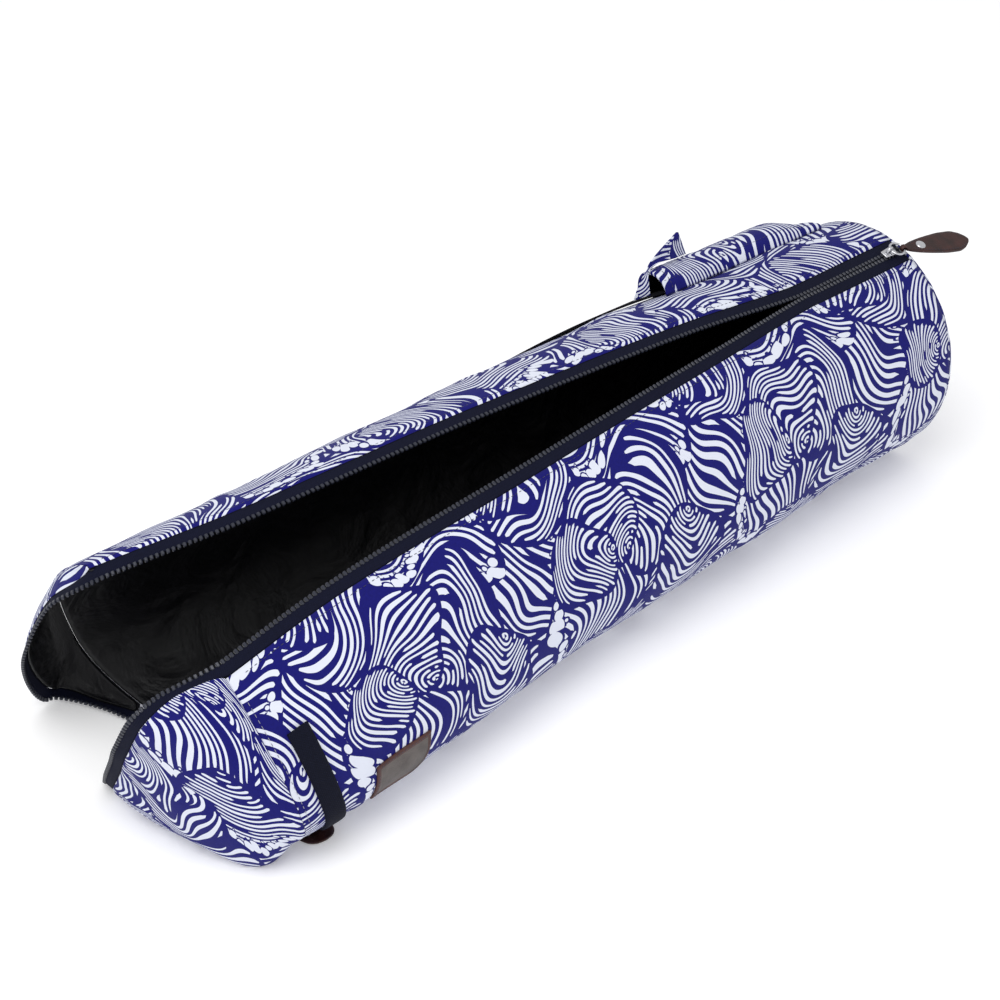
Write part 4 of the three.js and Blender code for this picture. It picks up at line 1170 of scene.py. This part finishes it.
def addSlider():
    base, thick, high = hardware["base"], hardware["thickness"], hardware["bridgeHeight"]
    bpy.ops.mesh.primitive_cube_add(size=1, location=(0, 0, base + thick / 2))
    plate = bpy.context.object
    scalePiece(plate, (hardware["length"], hardware["width"], thick))
    for vertex in plate.data.vertices:
        if vertex.co.x < 0:
            vertex.co.y *= hardware["narrow"]
    editPiece(lambda: bpy.ops.mesh.bevel(offset=hardware["bevel"], segments=3, affect="EDGES"))
    foot = base + thick - 0.6
    bridge = addTorus(3.3, 0.75, 40, 12, location=(0, 0, foot), rotation=(math.pi / 2, 0, 0))
    scalePiece(bridge, (1.0, 1.25, 1.5))
    stretch = high / (max(vertex.co.z for vertex in bridge.data.vertices) - base - thick)
    for vertex in bridge.data.vertices:
        vertex.co.z = foot + (vertex.co.z - foot) * stretch
    cutBelow(foot + 0.1)
    slider = joinPieces("zipSlider", [plate, bridge])
    smoothUnder(35)
    settle(slider, zipOrigin, zipTurn)
    finishPiece(slider, "metal", "zip_slider")


def addRing():
    ring = addTorus(hardware["ringRadius"], hardware["ringWire"], 56, 16)
    for vertex in ring.data.vertices:    # the wire's two ends meet with a small step
        angle = math.atan2(vertex.co.y, vertex.co.x)
        vertex.co.z += 0.12 * (1 if angle > 2.4 else -1 if angle < -2.4 else 0)
    ring.name = ring.data.name = "pullRing"
    bpy.ops.object.shade_smooth()
    settle(ring, swingOrigin, swingTurn, hardware["ringRadius"])
    finishPiece(ring, "metal", "pull_ring")


def leafPiece(name, outline, length, thickness, rows=60, columns=16, domed=0.35):
    # a flat piece of leather with rounded faces, from half widths along it
    steps = 0.5 - 0.5 * np.cos(np.linspace(0, math.pi, rows))
    half = smoothColumn(outline, "at", "half", steps)
    side = np.linspace(-1, 1, columns)
    x, y = np.broadcast_arrays((steps * length)[:, None], half[:, None] * side[None, :])
    grid = np.stack([x, y, np.zeros_like(y)], -1)
    edge = np.minimum(half[:, None] * (1 - np.abs(side))[None, :], (1 - steps[:, None]) * length)
    face = thickness / 2 - domed * np.exp(-edge / 0.8)
    return sheetPiece(name, grid, np.array([0.0, 0.0, 1.0]), face, -face, grid[..., :2] + 20, 1)


def addPull():
    length, thick, eyeAt = hardware["pullLength"], hardware["pullThickness"], hardware["eye"] - 0.6
    leaf = leafPiece("pullLeaf", pullOutline, length, thick)
    for vertex in leaf.data.vertices:
        x, y, z = vertex.co * 1000
        bend = 1.1 * math.sin(x / length * 2.2) * math.sin(y / 9)
        vertex.co = (x + eyeAt, y, z + bend * 0.25)
    eye = addTorus(2.2, 0.55, 36, 12, rotation=(math.pi / 2, 0, 0))
    scalePiece(eye, (1, 1, 3.4))
    eye.data.materials.clear()
    pull = joinPieces("pullLeather", [leaf, eye])
    smoothUnder(50)
    shift = 2 * hardware["ringRadius"]
    settle(pull, swingOrigin, swingTurn, shift)
    finishPiece(pull, "leather", "pull_leather")
    inset = {"at": pullOutline["at"], "half": [max(h - 1.6, 0.05) for h in pullOutline["half"]]}
    steps = np.linspace(0.06, 0.965, 90)
    for name, side in (("Left", 1), ("Right", -1)):
        y = smoothColumn(inset, "at", "half", steps) * side
        line = np.stack([steps * length + eyeAt + shift, y, np.full_like(y, thick / 2 + 0.05)], -1)
        line = swingOrigin + line @ swingTurn.T
        normals = np.broadcast_to(swingTurn @ np.array([0, 0, 1.0]), line.shape)
        addStitches(f"stitchesPull{name}", line, normals, "thread", length=1.7, pitch=2.6, width=0.4,
                    height=0.25, slot="brown_leather")


def addRivet():
    face = hardware["pullThickness"] / 2 + 0.1
    heads = []
    for side in (1, -1):
        bpy.ops.mesh.primitive_uv_sphere_add(segments=32, ring_count=16, radius=hardware["rivet"])
        head = bpy.context.object
        scalePiece(head, (1, 1, 0.34))
        cutBelow(0)
        rim = addTorus(hardware["rivet"] - 0.3, 0.4, 36, 10)
        head = joinPieces("rivetHead", [head, rim])
        for vertex in head.data.vertices:
            vertex.co.z = (vertex.co.z + face) * side
        if side < 0:
            editPiece(lambda: bpy.ops.mesh.flip_normals())
        heads.append(head)
    rivet = joinPieces("pullRivet", heads)
    smoothUnder(40)
    settle(rivet, swingOrigin, swingTurn, 2 * hardware["ringRadius"] + hardware["rivetAt"])
    finishPiece(rivet, "metal", "pull_rivet")


def addTongue():
    tongue = leafPiece("pocketPull", pocketPull, pocketPull["length"], pocketPull["thickness"],
                       40, 14, 0.3)
    for vertex in tongue.data.vertices:
        vertex.co *= 1000
    place = toFrame(pocketPull["fromEnd"], np.array([pocketPull["side"], pocketPull["height"]]))
    settle(tongue, place, turnMatrix(90, 0, 1))
    finishPiece(tongue, "leather", "pocket_pull")


addSlider()
addRing()
addPull()
addRivet()
addTongue()
print("slider, ring and pulls ready")

# Floor, light and camera
stageValues = {
    "floor": linearColour(246, 246, 247), "floorGlow": 0.2, "sky": 0.74,
    "keyPower": 25.0, "keySize": 1.5, "keyPlace": (-1.0, -0.5, 2.0), "keyAim": (0, 0, 0.05),
    "azimuth": -43.2, "elevation": 32.2, "distance": 1.802, "lens": 90.5,
    "target": (-0.0325, 0.012, 0.093),
}


def addFloor():
    bpy.ops.mesh.primitive_plane_add(size=12, location=(0, 0, -0.0004))
    floor = bpy.context.object
    floor.name = "floor"
    material, tree, shader = newMaterial(
        "paleFloor", **{"Roughness": 0.9, "Specular IOR Level": 0.1, "Emission Color": (1, 1, 1, 1),
                        "Emission Strength": stageValues["floorGlow"]})
    grain = addNoise(tree, addNode(tree, "ShaderNodeTexCoord").outputs["Object"], 3.0, 2.0)
    low = tuple(c * 0.98 for c in stageValues["floor"][:3]) + (1.0,)
    joinSocket(tree, mixColour(tree, grain, low, stageValues["floor"]), shader.inputs["Base Color"])
    floor.data.materials.append(material)


def linkNew(name, data):
    made = bpy.data.objects.new(name, data)
    bpy.context.scene.collection.objects.link(made)
    return made


def addLight():
    light = bpy.data.lights.new("keyLight", "AREA")
    light.shape, light.size, light.energy = "SQUARE", stageValues["keySize"], stageValues["keyPower"]
    lamp = linkNew("keyLight", light)
    lamp.location = stageValues["keyPlace"]
    toAim = Vector(stageValues["keyAim"]) - Vector(stageValues["keyPlace"])
    lamp.rotation_euler = toAim.to_track_quat("-Z", "Y").to_euler()


def addCamera():
    azimuth, elevation = (math.radians(stageValues[key]) for key in ("azimuth", "elevation"))
    back = Vector((math.sin(azimuth) * math.cos(elevation), -math.cos(azimuth) * math.cos(elevation),
                   math.sin(elevation)))
    data = bpy.data.cameras.new("photoView")
    data.lens, data.sensor_width = stageValues["lens"], 36
    data.clip_start, data.clip_end = 0.05, 50
    camera = linkNew("photoView", data)
    camera.location = Vector(stageValues["target"]) + back * stageValues["distance"]
    camera.rotation_mode = "QUATERNION"
    camera.rotation_quaternion = (-back).to_track_quat("-Z", "Y")
    bpy.context.scene.camera = camera


def addSky():
    world = bpy.data.worlds.new("studio")
    world.use_nodes = True
    sky = world.node_tree.nodes["Background"].inputs
    sky["Color"].default_value = (1, 1, 1, 1)
    sky["Strength"].default_value = stageValues["sky"]
    bpy.context.scene.world = world
    bpy.context.scene.view_settings.view_transform = "Standard"


addFloor()
addLight()
addSky()
addCamera()

print("scene ready")
